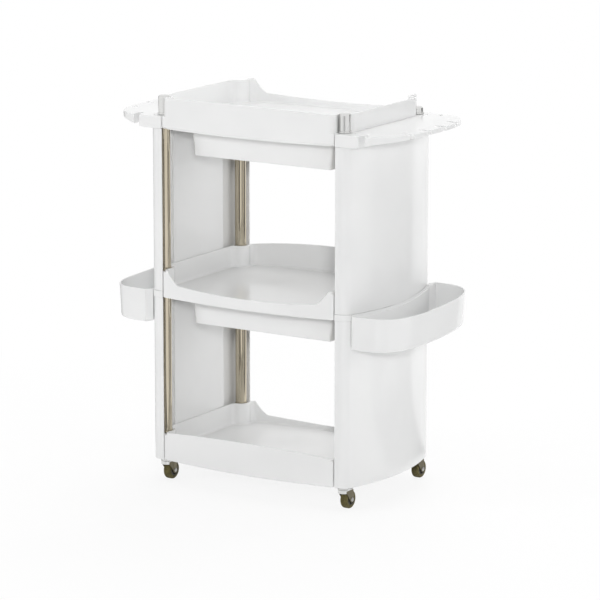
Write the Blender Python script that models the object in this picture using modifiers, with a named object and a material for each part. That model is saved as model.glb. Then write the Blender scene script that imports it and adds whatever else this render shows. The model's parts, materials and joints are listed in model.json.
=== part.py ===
"""Rolling salon trolley: three moulded trays on chrome posts, closed at the sides by bowed panels.

Crescent bins hang at the middle level and notched tool rests at the top. Two drawers slide on rails
under the trays, and the trolley rolls on four swivel casters. Metres, +Z up, front towards -Y, with
the origin on the floor under the middle.
"""

import math

import bmesh
import bpy

# Levels
CASTER_HEIGHT = 0.052
LOWER_BAY = 0.360
UPPER_BAY = 0.367

# Posts and the rods that tie the trays together
POST_X = 0.226
POST_Y = 0.148
TUBE_RADIUS = 0.0125
TUBE_WALL = 0.0012
POST_FLANGE = 0.002
POST_FLANGE_HEIGHT = 0.004
ROD_RADIUS = 0.004
FRONT_CAP_HEIGHT = 0.042
REAR_CAP_HEIGHT = 0.016
CAP_COLLAR = 0.0015
CAP_COLLAR_HEIGHT = 0.004
CAP_TOP_WALL = 0.003
ROD_END_ROOM = 0.002

# Trays
EAR_WALL = 0.008
TRAY_WALL = 0.003
TRAY_FLOOR = 0.003
FLOOR_RISE = 0.014
EAR_HEIGHT = 0.056
TRAY_HEIGHT = 0.0615
TOP_EAR_HEIGHT = 0.027
TOP_TRAY_HEIGHT = 0.066
TRAY_BOW = 0.020
BASIN_FILLET = 0.012
LOW_WALL = 0.0245
TOP_LOW_WALL = 0.028
LOW_WALL_SAG = 0.0065
DIP_MARGIN = 0.010
RAMP_LENGTH = 0.033
RAMP_POWER = 1.6
BOTTOM_CREST = 0.010
MIDDLE_CREST = 0.011
TOP_CREST = 0.005

# Side panels
PANEL_WALL = 0.003
PANEL_CLEARANCE = 0.001
PANEL_BOW = 0.025
RETURN_REACH = 0.008
INNER_WALL_OFFSET = 0.012
INNER_WALL_SETBACK = 0.0515
RECESS_DEPTH = 0.006

# Side bins
BAND_HEIGHT = 0.014
BIN_DEPTH = 0.058
BIN_REACH = 0.370
BIN_SHOULDER = 0.035
BIN_END_OVERHANG = 0.002
BIN_END_SETBACK = 0.0125
BIN_ROUND = 3.5
BIN_WALL = 0.0028
BIN_GAP = 0.0025
BIN_TAPER = 0.005
RIM_RISE = 0.012

# Tool rests
REST_REACH = 0.360
REST_SHOULDER = 0.030
REST_ROUND = 3.0
REST_SKIRT = 0.019
REST_WALL = 0.003
REST_PLATE = 0.004
REST_TIP_RISE = 0.009
NOTCH_WIDTH = 0.013
NOTCH_DEPTH = 0.024
NOTCH_PITCH = 0.061
END_NOTCH_X = 0.281

# Drawers and their rails
DRAWER_HALF_WIDTH = 0.179
DRAWER_TAPER = 0.006
DRAWER_HEIGHT = 0.058
DRAWER_FRONT_Y = -0.115
DRAWER_LENGTH = 0.222
DRAWER_WALL = 0.003
DRAWER_CORNER = 0.011
DRAWER_DROP = 0.004
LIP_WIDTH = 0.014
LIP_THICKNESS = 0.003
LIP_SETBACK = 0.006
RAIL_SHEET = 0.002
RAIL_LEDGE = 0.010
RAIL_FLANGE = 0.012
DRAWER_PLAY = 0.0005

# Casters
WHEEL_RADIUS = 0.020
WHEEL_WIDTH = 0.0165
HUB_RADIUS = 0.0125
AXLE_RADIUS = 0.003
AXLE_HEAD = 0.0045
AXLE_HEAD_HEIGHT = 0.0014
WHEEL_TRAIL = 0.017
FORK_SHEET = 0.002
FORK_PLATE = 0.003
FORK_PLAY = 0.0006
FORK_BOSS = 0.0065
FORK_HEAD_RADIUS = 0.0125
STEM_LENGTH = 0.018
STEM_DISC_HEIGHT = 0.007
STEM_DISC_RADIUS = 0.0135
KINGPIN_RADIUS = 0.0035
RIVET_RADIUS = 0.006
RIVET_HEIGHT = 0.002

# Clearances between touching pieces and the reach of cutters past a face
GAP = 0.0003
CUT_OVER = 0.004

# Direction in which the wheels trail at rest, in degrees about +Z from +X: straight back
CASTER_YAW = 90.0

# Sizes that follow from the ones above
BOTTOM_Z = CASTER_HEIGHT
MIDDLE_Z = BOTTOM_Z + LOWER_BAY
TOP_Z = MIDDLE_Z + UPPER_BAY
EAR_RADIUS = TUBE_RADIUS + EAR_WALL
PANEL_CORNER = EAR_RADIUS + PANEL_CLEARANCE + PANEL_WALL
RETURN_X = POST_X - RETURN_REACH
PANEL_INNER_X = POST_X + INNER_WALL_OFFSET
INNER_WALL_Y = POST_Y - INNER_WALL_SETBACK
FRONT_Y = POST_Y + PANEL_CORNER
TRAY_SIDE_X = PANEL_INNER_X - PANEL_CLEARANCE
TRAY_EDGE_X = RETURN_X - PANEL_CLEARANCE
BOW_REACH = POST_X + PANEL_BOW
BOW_CENTRE = (BOW_REACH**2 - POST_X**2 - POST_Y**2) / (2 * PANEL_BOW)
BOW_RADIUS = BOW_REACH + PANEL_CORNER - BOW_CENTRE
CAP_SEAT_Z = TOP_Z + TOP_EAR_HEIGHT
ROD_HOLE = ROD_RADIUS + GAP
ROD_LOW = BOTTOM_Z + STEM_LENGTH + GAP

CORNERS = {
    "front_left": (-POST_X, -POST_Y),
    "front_right": (POST_X, -POST_Y),
    "rear_left": (-POST_X, POST_Y),
    "rear_right": (POST_X, POST_Y),
}
SIDES = {"left": -1, "right": 1}
ROUND_STEPS = 24
SMALL_STEPS = 12
ARC_STEPS = 5
BOW_STEPS = 12

for thing in list(bpy.data.objects):
    bpy.data.objects.remove(thing, do_unlink=True)

trolley = bpy.data.collections.new("rolling_salon_trolley")
cutters = bpy.data.collections.new("cutters")
bpy.context.scene.collection.children.link(trolley)
bpy.context.scene.collection.children.link(cutters)


def material(name, colour, roughness, metallic):
    """A Principled material of one colour."""
    made = bpy.data.materials.new(name)
    made.use_nodes = True
    shader = made.node_tree.nodes["Principled BSDF"]
    shader.inputs["Base Color"].default_value = (*colour, 1.0)
    shader.inputs["Roughness"].default_value = roughness
    shader.inputs["Metallic"].default_value = metallic
    return made


WHITE_PLASTIC = material("white_plastic", (0.83, 0.83, 0.84), 0.35, 0.0)
CHROME = material("chrome", (0.62, 0.59, 0.53), 0.15, 1.0)
STEEL = material("zinc_steel", (0.45, 0.44, 0.42), 0.4, 1.0)
RUBBER = material("tyre_rubber", (0.035, 0.032, 0.022), 0.6, 0.0)
HUB_PLASTIC = material("hub_plastic", (0.06, 0.055, 0.04), 0.45, 0.0)


def finish(part, surface, smooth_angle=30.0):
    """Gives a part its material and smooth round faces, and puts it with the trolley."""
    part.data.materials.clear()
    part.data.materials.append(surface)
    part.data.shade_smooth()
    part.data.set_sharp_from_angle(angle=math.radians(smooth_angle))
    for home in list(part.users_collection):
        home.objects.unlink(part)
    trolley.objects.link(part)
    return part


def as_cutter(part):
    """Hides a helper shape and keeps it with the cutters."""
    for home in list(part.users_collection):
        home.objects.unlink(part)
    cutters.objects.link(part)
    part.hide_render = True
    part.display_type = "WIRE"
    return part


def combine(part, other, operation):
    """Adds a Boolean of one kind to a part."""
    modifier = part.modifiers.new(operation.lower(), "BOOLEAN")
    modifier.operation = operation
    modifier.object = as_cutter(other)
    return part


def cut(part, cutter):
    """Takes a cutter's shape out of a part."""
    return combine(part, cutter, "DIFFERENCE")


def join(part, other):
    """Makes another shape one body with a part."""
    return combine(part, other, "UNION")


def link_mesh(name, mesh):
    """An object for a mesh, in the scene."""
    part = bpy.data.objects.new(name, mesh)
    bpy.context.scene.collection.objects.link(part)
    return part


def arc(centre, radius, start, end, steps):
    """Points on an arc, from start to end in degrees."""
    angles = [math.radians(start + (end - start) * i / steps) for i in range(steps + 1)]
    return [(centre[0] + radius * math.cos(a), centre[1] + radius * math.sin(a)) for a in angles]


def direction(start, end):
    """The angle in degrees from one point to another."""
    return math.degrees(math.atan2(end[1] - start[1], end[0] - start[0]))


def extruded(name, outlines, low, high, upright=False):
    """A flat outline and its holes, drawn from low to high along Z, or along Y when upright in XZ."""
    curve = bpy.data.curves.new(name, "CURVE")
    curve.dimensions = "2D"
    curve.fill_mode = "BOTH"
    curve.extrude = (high - low) / 2
    for outline in outlines:
        spline = curve.splines.new("POLY")
        spline.points.add(len(outline) - 1)
        for point, (x, y) in zip(spline.points, outline):
            point.co = (x, y, 0.0, 1.0)
        spline.use_cyclic_u = True
    guide = link_mesh(name, curve)
    middle = (low + high) / 2
    if upright:
        guide.rotation_euler.x = math.pi / 2
        guide.location.y = middle
    else:
        guide.location.z = middle
    bpy.context.view_layer.update()
    graph = bpy.context.evaluated_depsgraph_get()
    mesh = bpy.data.meshes.new_from_object(guide.evaluated_get(graph))
    shape = bmesh.new()
    shape.from_mesh(mesh)
    bmesh.ops.remove_doubles(shape, verts=shape.verts, dist=1e-6)
    bmesh.ops.dissolve_limit(shape, angle_limit=0.001, verts=shape.verts, edges=shape.edges)
    bmesh.ops.recalc_face_normals(shape, faces=shape.faces)
    shape.to_mesh(mesh)
    shape.free()
    place = guide.matrix_world.copy()
    bpy.data.objects.remove(guide, do_unlink=True)
    part = link_mesh(name, mesh)
    part.matrix_world = place
    return part


def turned(name, profile, steps, closed=False):
    """A profile of (radius, height) points, outer side from top to bottom, turned about Z."""
    mesh = bpy.data.meshes.new(name)
    links = [(i, i + 1) for i in range(len(profile) - 1)]
    if closed:
        links.append((len(profile) - 1, 0))
    mesh.from_pydata([(radius, 0.0, height) for radius, height in profile], links, [])
    part = link_mesh(name, mesh)
    screw = part.modifiers.new("turn", "SCREW")
    screw.steps = steps
    screw.render_steps = steps
    screw.use_merge_vertices = True
    screw.merge_threshold = 0.00001
    bpy.context.view_layer.update()
    graph = bpy.context.evaluated_depsgraph_get()
    spun = bpy.data.meshes.new_from_object(part.evaluated_get(graph))
    shape = bmesh.new()
    shape.from_mesh(spun)
    bmesh.ops.recalc_face_normals(shape, faces=shape.faces)
    shape.to_mesh(spun)
    shape.free()
    part.modifiers.clear()
    part.data = spun
    return part


def cylinder(name, radius, low, high, place, steps=SMALL_STEPS):
    """A round bar standing on Z at a place in plan."""
    bpy.ops.mesh.primitive_cylinder_add(
        vertices=steps,
        radius=radius,
        depth=high - low,
        location=(place[0], place[1], (low + high) / 2),
    )
    part = bpy.context.object
    part.name = name
    return part


def box(name, low, high):
    """A block between two corners."""
    bpy.ops.mesh.primitive_cube_add(size=1.0)
    part = bpy.context.object
    part.name = name
    for vertex in part.data.vertices:
        for axis in range(3):
            vertex.co[axis] = high[axis] if vertex.co[axis] > 0 else low[axis]
    return part


def lofted(name, rings):
    """Skins rings of equal count, each an outer run and an inner run back, and closes both end rings."""
    mesh = bpy.data.meshes.new(name)
    shape = bmesh.new()
    skin = [[shape.verts.new(point) for point in ring] for ring in rings]
    count = len(rings[0])
    for lower, upper in zip(skin, skin[1:]):
        for i in range(count):
            j = (i + 1) % count
            shape.faces.new((lower[i], lower[j], upper[j], upper[i]))
    for ring in (skin[0], skin[-1]):
        for i in range(count // 2 - 1):
            shape.faces.new((ring[i], ring[i + 1], ring[count - 2 - i], ring[count - 1 - i]))
    bmesh.ops.recalc_face_normals(shape, faces=shape.faces)
    shape.to_mesh(mesh)
    shape.free()
    return link_mesh(name, mesh)


def four_fold(quarter):
    """A closed outline from its part in the +X +Y quarter, which runs from the side to the back."""
    back_left = [(-x, y) for x, y in reversed(quarter)]
    front_left = [(-x, -y) for x, y in quarter]
    front_right = [(x, -y) for x, y in reversed(quarter)]
    return quarter + back_left + front_left + front_right


def edge_y(x):
    """How far out a tray's bowed front or back edge lies."""
    return FRONT_Y + TRAY_BOW * (1 - (x / TRAY_EDGE_X) ** 2)


def bow_x(y, offset=0.0):
    """The outer face of a side panel's bow at a depth, moved out by an offset."""
    return BOW_CENTRE + math.sqrt((BOW_RADIUS + offset) ** 2 - y**2)


def tray_outline():
    """The tray's plan, with a round ear at each post behind the panels' returns."""
    post = (POST_X, POST_Y)
    start = -math.degrees(math.acos((TRAY_SIDE_X - POST_X) / EAR_RADIUS))
    end = math.degrees(math.acos((TRAY_EDGE_X - POST_X) / EAR_RADIUS))
    quarter = arc(post, EAR_RADIUS, start, end, 2 * ARC_STEPS)
    quarter += [(x, edge_y(x)) for x in bow_stations(TRAY_EDGE_X)]
    return four_fold(quarter)


def bow_stations(start):
    """Places across half of a bowed edge, from its end to just short of the middle."""
    return [start * (1 - i / (BOW_STEPS / 2)) for i in range(BOW_STEPS // 2)]


def basin_outline(grow=0.0):
    """The inside of a tray, drawn round the post bosses with fillets, and grown outwards."""
    post = (POST_X, POST_Y)
    boss = EAR_RADIUS - grow
    fillet = BASIN_FILLET + grow
    side_x = TRAY_SIDE_X - TRAY_WALL + grow
    side_in = side_x - fillet - POST_X
    side_centre = (side_x - fillet, POST_Y - math.sqrt((boss + fillet) ** 2 - side_in**2))
    back_x = POST_X - boss - fillet
    for _ in range(6):
        back_y = edge_y(back_x) - TRAY_WALL + grow - fillet
        back_x = POST_X - math.sqrt((boss + fillet) ** 2 - (back_y - POST_Y) ** 2)
    back_centre = (back_x, back_y)
    quarter = arc(side_centre, fillet, 0.0, direction(side_centre, post), ARC_STEPS)
    quarter += arc(
        post,
        boss,
        direction(post, side_centre) % 360,
        direction(post, back_centre) % 360,
        ARC_STEPS,
    )[1:]
    quarter += arc(back_centre, fillet, direction(back_centre, post), 90.0, ARC_STEPS)[1:]
    quarter += [(x, edge_y(x) - TRAY_WALL + grow) for x in bow_stations(back_x)[1:]]
    return four_fold(quarter)


def low_rim(x, height, low_wall):
    """The height of a tray's low wall: sagging in the middle, with a ramp up to each corner."""
    ramp_end = TRAY_EDGE_X - DIP_MARGIN
    ramp_start = ramp_end - RAMP_LENGTH
    foot = low_wall + LOW_WALL_SAG
    if abs(x) <= ramp_start:
        return low_wall + LOW_WALL_SAG * (x / ramp_start) ** 2
    share = (abs(x) - ramp_start) / RAMP_LENGTH
    return foot + (height - foot) * share**RAMP_POWER


def across_wall(name, outline, facing):
    """An upright outline drawn through a tray's front wall, facing -1, or its back wall, facing 1."""
    near = facing * (POST_Y - EAR_RADIUS)
    far = facing * (FRONT_Y + TRAY_BOW + CUT_OVER)
    return extruded(name, [outline], min(near, far), max(near, far), upright=True)


def wall_stations():
    """Places across a long wall between its corners, close together on the ramps."""
    ramp_end = TRAY_EDGE_X - DIP_MARGIN
    ramp_start = ramp_end - RAMP_LENGTH
    half = [ramp_start * i / BOW_STEPS for i in range(1, BOW_STEPS)]
    half += [ramp_start + RAMP_LENGTH * i / ARC_STEPS for i in range(ARC_STEPS + 1)]
    return [-x for x in reversed(half)] + [0.0] + half


def dip_cutter(name, height, low_wall, z, facing):
    """Lowers one long wall of a tray between its corners."""
    stations = wall_stations()
    outline = [(x, z + low_rim(x, height, low_wall)) for x in stations]
    over = z + height + CUT_OVER
    return across_wall(name, outline + [(stations[-1], over), (stations[0], over)], facing)


def crest(name, height, rise, z, facing):
    """The crowned top of the long wall on one side of a tray."""
    stations = wall_stations()
    reach = stations[-1]
    base = z + height - GAP
    outline = [(x, base + (rise + GAP) * (1 - (x / reach) ** 2)) for x in stations]
    outline += [(reach, base - CUT_OVER), (-reach, base - CUT_OVER)]
    crown = across_wall(name, outline, facing)
    plan = basin_outline(TRAY_WALL - 2 * GAP)
    return combine(crown, extruded(name + "_plan", [plan], z, z + height + 2 * rise), "INTERSECT")


def make_tray(name, z, height, ear_height, low_wall, facing, rise):
    """A moulded tray: floor, walls, corner ears with rod holes, one long wall low, the other crowned."""
    tray = extruded(name, [tray_outline()], z, z + ear_height)
    floor = z + FLOOR_RISE
    join(tray, extruded(name + "_wall", [basin_outline(TRAY_WALL - GAP)], floor, z + height))
    join(tray, crest(name + "_crest", height, rise, z, -facing))
    cut(tray, extruded(name + "_inside", [basin_outline()], floor, z + height + rise + CUT_OVER))
    under = extruded(name + "_under", [basin_outline()], z - CUT_OVER, floor - TRAY_FLOOR)
    cut(tray, under)
    cut(tray, dip_cutter(name + "_dip", height, low_wall, z, facing))
    for corner, place in CORNERS.items():
        hole = cylinder(f"{name}_hole_{corner}", ROD_HOLE, z - CUT_OVER, z + height + CUT_OVER, place)
        cut(tray, hole)
    return finish(tray, WHITE_PLASTIC)


def make_post(name, low, high, place):
    """A chrome tube with a flanged foot that spaces two trays."""
    inner = TUBE_RADIUS - TUBE_WALL
    foot = TUBE_RADIUS + POST_FLANGE
    step = low + POST_FLANGE_HEIGHT
    profile = [(TUBE_RADIUS, high), (TUBE_RADIUS, step), (foot, step), (foot, low), (inner, low), (inner, high)]
    post = turned(name, profile, ROUND_STEPS, closed=True)
    post.location = (place[0], place[1], 0.0)
    return finish(post, CHROME)


def make_rod(name, place, cap_height):
    """A tie rod from the caster's stem up into the post's cap."""
    high = CAP_SEAT_Z + cap_height - CAP_TOP_WALL - ROD_END_ROOM
    return finish(cylinder(name, ROD_RADIUS, ROD_LOW, high, place), STEEL)


def make_cap(name, place, height):
    """A domed chrome cap with a collar, standing on a top tray's ear."""
    base = CAP_SEAT_Z + GAP
    top = CAP_SEAT_Z + height
    bore_top = top - CAP_TOP_WALL
    dome = TUBE_RADIUS * 0.4
    collar = TUBE_RADIUS + CAP_COLLAR
    profile = [(0.0, top)]
    profile += [
        (TUBE_RADIUS - dome + dome * math.sin(a), top - dome + dome * math.cos(a))
        for a in (math.radians(30 * i) for i in range(4))
    ]
    profile += [
        (TUBE_RADIUS, base + CAP_COLLAR_HEIGHT),
        (collar, base + CAP_COLLAR_HEIGHT),
        (collar, base),
        (ROD_HOLE, base),
        (ROD_HOLE, bore_top),
        (0.0, bore_top),
    ]
    cap = turned(name, profile, ROUND_STEPS)
    cap.location = (place[0], place[1], 0.0)
    return finish(cap, CHROME)


def panel_face(offset):
    """A side panel's outer face in plan, from front return to rear return, moved in by an offset."""
    turn = direction((BOW_CENTRE, 0.0), (POST_X, POST_Y))
    corner = PANEL_CORNER - offset
    front = arc((POST_X, -POST_Y), corner, -90.0, -turn, ARC_STEPS)
    bow = arc((BOW_CENTRE, 0.0), BOW_RADIUS - offset, -turn, turn, BOW_STEPS)
    rear = arc((POST_X, POST_Y), corner, turn, 90.0, ARC_STEPS)
    return front + bow[1:-1] + rear


def panel_outlines():
    """A side panel's section: a skin rolled round the posts, and a flat inner wall a step in from it."""
    post = (POST_X, POST_Y)
    step = (PANEL_INNER_X + RECESS_DEPTH, INNER_WALL_Y)
    bend = PANEL_CORNER - PANEL_WALL
    tangent = direction(post, step) + math.degrees(math.acos(bend / math.dist(post, step)))
    rear = [(RETURN_X, FRONT_Y), (RETURN_X, FRONT_Y - PANEL_WALL)]
    rear += arc(post, bend, 90.0, tangent, 2 * ARC_STEPS)
    rear += [step, (PANEL_INNER_X, INNER_WALL_Y)]
    outline = panel_face(0.0) + rear + [(x, -y) for x, y in reversed(rear)]
    hollow_y = INNER_WALL_Y - PANEL_WALL
    hollow_x = PANEL_INNER_X + PANEL_WALL
    hollow = [(hollow_x, -hollow_y)]
    for i in range(BOW_STEPS + 1):
        y = hollow_y * (2 * i / BOW_STEPS - 1)
        hollow.append((bow_x(y, -PANEL_WALL), y))
    hollow.append((hollow_x, hollow_y))
    return [outline, hollow]


def mirrored(outline, side):
    """An outline of the right side, turned over for the left."""
    return [(side * x, y) for x, y in outline]


def make_panel(name, side, low, high):
    """A hollow bowed side panel."""
    outlines = [mirrored(outline, side) for outline in panel_outlines()]
    return finish(extruded(name, outlines, low, high), WHITE_PLASTIC)


def collar_outline(offset):
    """The plate between two panels: the panel's outer face moved out, and round the tray inside."""
    outer = [(RETURN_X, -FRONT_Y)] + panel_face(-offset)[1:-1] + [(RETURN_X, FRONT_Y)]
    ear = EAR_RADIUS + PANEL_CLEARANCE
    turn = math.degrees(math.acos((PANEL_INNER_X - POST_X) / ear))
    inner = arc((POST_X, POST_Y), ear, 90.0, -turn, 2 * ARC_STEPS)
    inner = [(RETURN_X, POST_Y + ear)] + inner
    return outer + inner + [(x, -y) for x, y in reversed(inner)]


def crescent(reach, shoulder, rounding, inset, offset, setback):
    """Outer and inner runs of a crescent on a panel's bow, from front to rear."""
    start = POST_X + shoulder
    half = FRONT_Y + BIN_END_OVERHANG - inset
    outer = []
    for i in range(2 * BOW_STEPS + 1):
        a = math.pi * (i / (2 * BOW_STEPS) - 0.5)
        x = start + (reach - inset - start) * abs(math.cos(a)) ** (2 / rounding)
        y = half * math.copysign(abs(math.sin(a)) ** (2 / rounding), a)
        outer.append((x, y))
    inner_half = FRONT_Y - setback - inset
    inner = []
    for i in range(2 * BOW_STEPS + 1):
        y = inner_half * (i / BOW_STEPS - 1)
        inner.append((bow_x(y, offset), y))
    return outer, inner


def rim_rise(y):
    """How far the bin has swept up at a depth: nothing in the front half, the most at the rear."""
    share = max(0.0, y / FRONT_Y + 0.4) / 1.4
    return RIM_RISE * share**1.5


def bin_ring(side, inset, offset, taper, z):
    """One ring of a bin's skin at a height."""
    outer, inner = crescent(BIN_REACH - taper, BIN_SHOULDER, BIN_ROUND, inset, offset, BIN_END_SETBACK)
    return [(side * x, y, z + rim_rise(y)) for x, y in outer + inner[::-1]]


def make_bin(name, side):
    """A crescent bin on a plate that is held between the lower and upper panels."""
    floor = MIDDLE_Z - BIN_DEPTH
    rim = MIDDLE_Z + BAND_HEIGHT
    inside = BIN_GAP + BIN_WALL
    rings = [
        bin_ring(side, BIN_WALL, BIN_GAP, BIN_TAPER, floor),
        bin_ring(side, 0.0, BIN_GAP, BIN_TAPER, floor + BIN_WALL),
        bin_ring(side, 0.0, BIN_GAP, 0.0, rim),
        bin_ring(side, BIN_WALL, inside, 0.0, rim),
        bin_ring(side, BIN_WALL, inside, BIN_TAPER, floor + BIN_WALL),
    ]
    pocket = lofted(name, rings)
    plate = mirrored(collar_outline(BIN_GAP + BIN_WALL / 2), side)
    join(pocket, extruded(name + "_plate", [plate], MIDDLE_Z, rim))
    return finish(pocket, WHITE_PLASTIC)


def notch_outline(x, y, heading):
    """A U-shaped notch with its round end at a point, open towards a heading in degrees."""
    half = NOTCH_WIDTH / 2
    round_end = arc((0.0, 0.0), half, 90.0, 270.0, ARC_STEPS)
    shape = round_end + [(NOTCH_DEPTH + CUT_OVER, -half), (NOTCH_DEPTH + CUT_OVER, half)]
    turn = math.radians(heading)
    return [
        (x + u * math.cos(turn) - v * math.sin(turn), y + u * math.sin(turn) + v * math.cos(turn))
        for u, v in shape
    ]


def rest_edge_x(y):
    """The outer edge of a tool rest at a depth."""
    start = POST_X + REST_SHOULDER
    half = FRONT_Y + BIN_END_OVERHANG
    return start + (REST_REACH - start) * (1 - (abs(y) / half) ** REST_ROUND) ** (1 / REST_ROUND)


def rest_notches():
    """The notches of a right-hand tool rest: four along its outer edge and one at each end."""
    notches = []
    for i in range(4):
        y = NOTCH_PITCH * (i - 1.5)
        x = rest_edge_x(y) - NOTCH_DEPTH + NOTCH_WIDTH / 2
        notches.append(notch_outline(x, y, 0.0))
    end_y = FRONT_Y + BIN_END_OVERHANG - NOTCH_DEPTH + NOTCH_WIDTH / 2
    notches.append(notch_outline(END_NOTCH_X, -end_y, -90.0))
    notches.append(notch_outline(END_NOTCH_X, end_y, 90.0))
    return notches


def make_rest(name, side):
    """A notched tool rest: a crescent plate with a turned-down skirt, on a plate over the panel."""
    top = TOP_Z + TOP_EAR_HEIGHT
    low = top - REST_SKIRT
    outer, inner = crescent(REST_REACH, REST_SHOULDER, REST_ROUND, 0.0, -PANEL_WALL / 2, PANEL_WALL)
    rest = extruded(name, [mirrored(outer + inner[::-1], side)], low, top)
    outer, inner = crescent(REST_REACH, REST_SHOULDER, REST_ROUND, REST_WALL, REST_WALL, PANEL_WALL)
    hollow = mirrored(outer + inner[::-1], side)
    cut(rest, extruded(name + "_under", [hollow], low - CUT_OVER, top - REST_PLATE))
    root = BOW_REACH + PANEL_CORNER
    tip = REST_REACH + CUT_OVER
    taper = [(root, low - CUT_OVER), (tip, low - CUT_OVER), (tip, low + REST_TIP_RISE), (root, low)]
    half = FRONT_Y + CUT_OVER
    cut(rest, extruded(name + "_taper", [mirrored(taper, side)], -half, half, upright=True))
    join(rest, extruded(name + "_plate", [mirrored(collar_outline(0.0), side)], TOP_Z, top))
    for i, notch in enumerate(rest_notches()):
        cutter = extruded(f"{name}_notch_{i}", [mirrored(notch, side)], low - CUT_OVER, top + CUT_OVER)
        cut(rest, cutter)
    return finish(rest, WHITE_PLASTIC)


def tub(name, inset, low, high):
    """A drawer's block with round corners, narrower at the bottom, drawn in by an inset."""
    corner = DRAWER_CORNER - inset
    front = DRAWER_FRONT_Y + DRAWER_CORNER
    rear = DRAWER_FRONT_Y + DRAWER_LENGTH - DRAWER_CORNER
    middle = DRAWER_HALF_WIDTH - DRAWER_CORNER
    outline = arc((middle, front), corner, -90.0, 0.0, ARC_STEPS)
    outline += arc((middle, rear), corner, 0.0, 90.0, ARC_STEPS)
    outline += arc((-middle, rear), corner, 90.0, 180.0, ARC_STEPS)
    outline += arc((-middle, front), corner, 180.0, 270.0, ARC_STEPS)
    shape = extruded(name, [outline], low, high)
    for vertex in shape.data.vertices:
        if vertex.co.z < 0:
            vertex.co.x -= math.copysign(DRAWER_TAPER, vertex.co.x)
    return shape


def make_drawer(name, tray_z):
    """An open drawer with a lip at each side that runs on a rail."""
    top = tray_z - DRAWER_DROP
    low = top - DRAWER_HEIGHT
    drawer = tub(name, 0.0, low, top)
    lip_y = (DRAWER_FRONT_Y + LIP_SETBACK, DRAWER_FRONT_Y + DRAWER_LENGTH)
    lip_x = DRAWER_HALF_WIDTH + LIP_WIDTH
    lips = box(name + "_lips", (-lip_x, lip_y[0], top - LIP_THICKNESS), (lip_x, lip_y[1], top))
    join(drawer, lips)
    cut(drawer, tub(name + "_inside", DRAWER_WALL, low + DRAWER_WALL, top + CUT_OVER))
    return finish(drawer, WHITE_PLASTIC)


def make_rail(name, tray_z, side):
    """A bent sheet rail that hangs from a tray's floor and carries a drawer's lip."""
    web_in = DRAWER_HALF_WIDTH + LIP_WIDTH + DRAWER_PLAY
    web_out = web_in + RAIL_SHEET
    top = tray_z + FLOOR_RISE - TRAY_FLOOR - GAP
    ledge = tray_z - DRAWER_DROP - LIP_THICKNESS - DRAWER_PLAY
    outline = [
        (web_in - RAIL_LEDGE, ledge),
        (web_in, ledge),
        (web_in, top),
        (web_out + RAIL_FLANGE, top),
        (web_out + RAIL_FLANGE, top - RAIL_SHEET),
        (web_out, top - RAIL_SHEET),
        (web_out, ledge - RAIL_SHEET),
        (web_in - RAIL_LEDGE, ledge - RAIL_SHEET),
    ]
    outline = mirrored(outline, side)
    rear = DRAWER_FRONT_Y + DRAWER_LENGTH
    return finish(extruded(name, [outline], DRAWER_FRONT_Y + LIP_SETBACK, rear, upright=True), STEEL)


def empty(name, place, parent=None):
    """A joint's pivot."""
    pivot = bpy.data.objects.new(name, None)
    pivot.empty_display_size = 0.01
    pivot.location = place
    pivot.parent = parent
    trolley.objects.link(pivot)
    return pivot


def make_stem(name, place):
    """The caster's screw stem, bearing disc and kingpin, riveted over under the fork."""
    seat = BOTTOM_Z - GAP
    disc_low = seat - STEM_DISC_HEIGHT
    rivet = disc_low - GAP - FORK_PLATE - GAP
    profile = [
        (0.0, BOTTOM_Z + STEM_LENGTH),
        (ROD_RADIUS, BOTTOM_Z + STEM_LENGTH),
        (ROD_RADIUS, seat),
        (STEM_DISC_RADIUS, seat),
        (STEM_DISC_RADIUS, disc_low),
        (KINGPIN_RADIUS, disc_low),
        (KINGPIN_RADIUS, rivet),
        (RIVET_RADIUS, rivet),
        (RIVET_RADIUS, rivet - RIVET_HEIGHT),
        (0.0, rivet - RIVET_HEIGHT),
    ]
    stem = turned(name, profile, SMALL_STEPS)
    stem.location = (place[0], place[1], 0.0)
    return finish(stem, CHROME)


def make_fork(name, swivel):
    """A bent fork: a round head on the kingpin and two cheeks down to the axle."""
    top = BOTTOM_Z - 2 * GAP - STEM_DISC_HEIGHT
    plate_low = top - FORK_PLATE
    slot_half = WHEEL_WIDTH / 2 + FORK_PLAY
    half = slot_half + FORK_SHEET
    axle = (WHEEL_TRAIL, WHEEL_RADIUS)
    outline = [(-FORK_HEAD_RADIUS, top), (-FORK_HEAD_RADIUS, plate_low)]
    outline += arc(axle, FORK_BOSS, 205.0, 380.0, 2 * ARC_STEPS)
    outline += [(WHEEL_TRAIL + FORK_BOSS, plate_low), (FORK_HEAD_RADIUS, top)]
    fork = extruded(name, [outline], -half, half, upright=True)
    slot_low = (-CUT_OVER - FORK_HEAD_RADIUS, -slot_half, 0.0)
    slot_high = (WHEEL_TRAIL + 2 * WHEEL_RADIUS, slot_half, plate_low)
    cut(fork, box(name + "_slot", slot_low, slot_high))
    hole = cylinder(name + "_kingpin", KINGPIN_RADIUS + GAP, plate_low - CUT_OVER, top + CUT_OVER, (0, 0))
    cut(fork, hole)
    cut(fork, crossways(cylinder(name + "_axle", AXLE_RADIUS + GAP, -WHEEL_WIDTH, WHEEL_WIDTH, (0, 0))))
    for cutter in (modifier.object for modifier in fork.modifiers):
        cutter.parent = swivel
    fork.parent = swivel
    return finish(fork, CHROME)


def crossways(part):
    """Lays a turned piece along the axle."""
    part.rotation_euler.x = math.pi / 2
    part.location = (WHEEL_TRAIL, 0.0, WHEEL_RADIUS)
    return part


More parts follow.
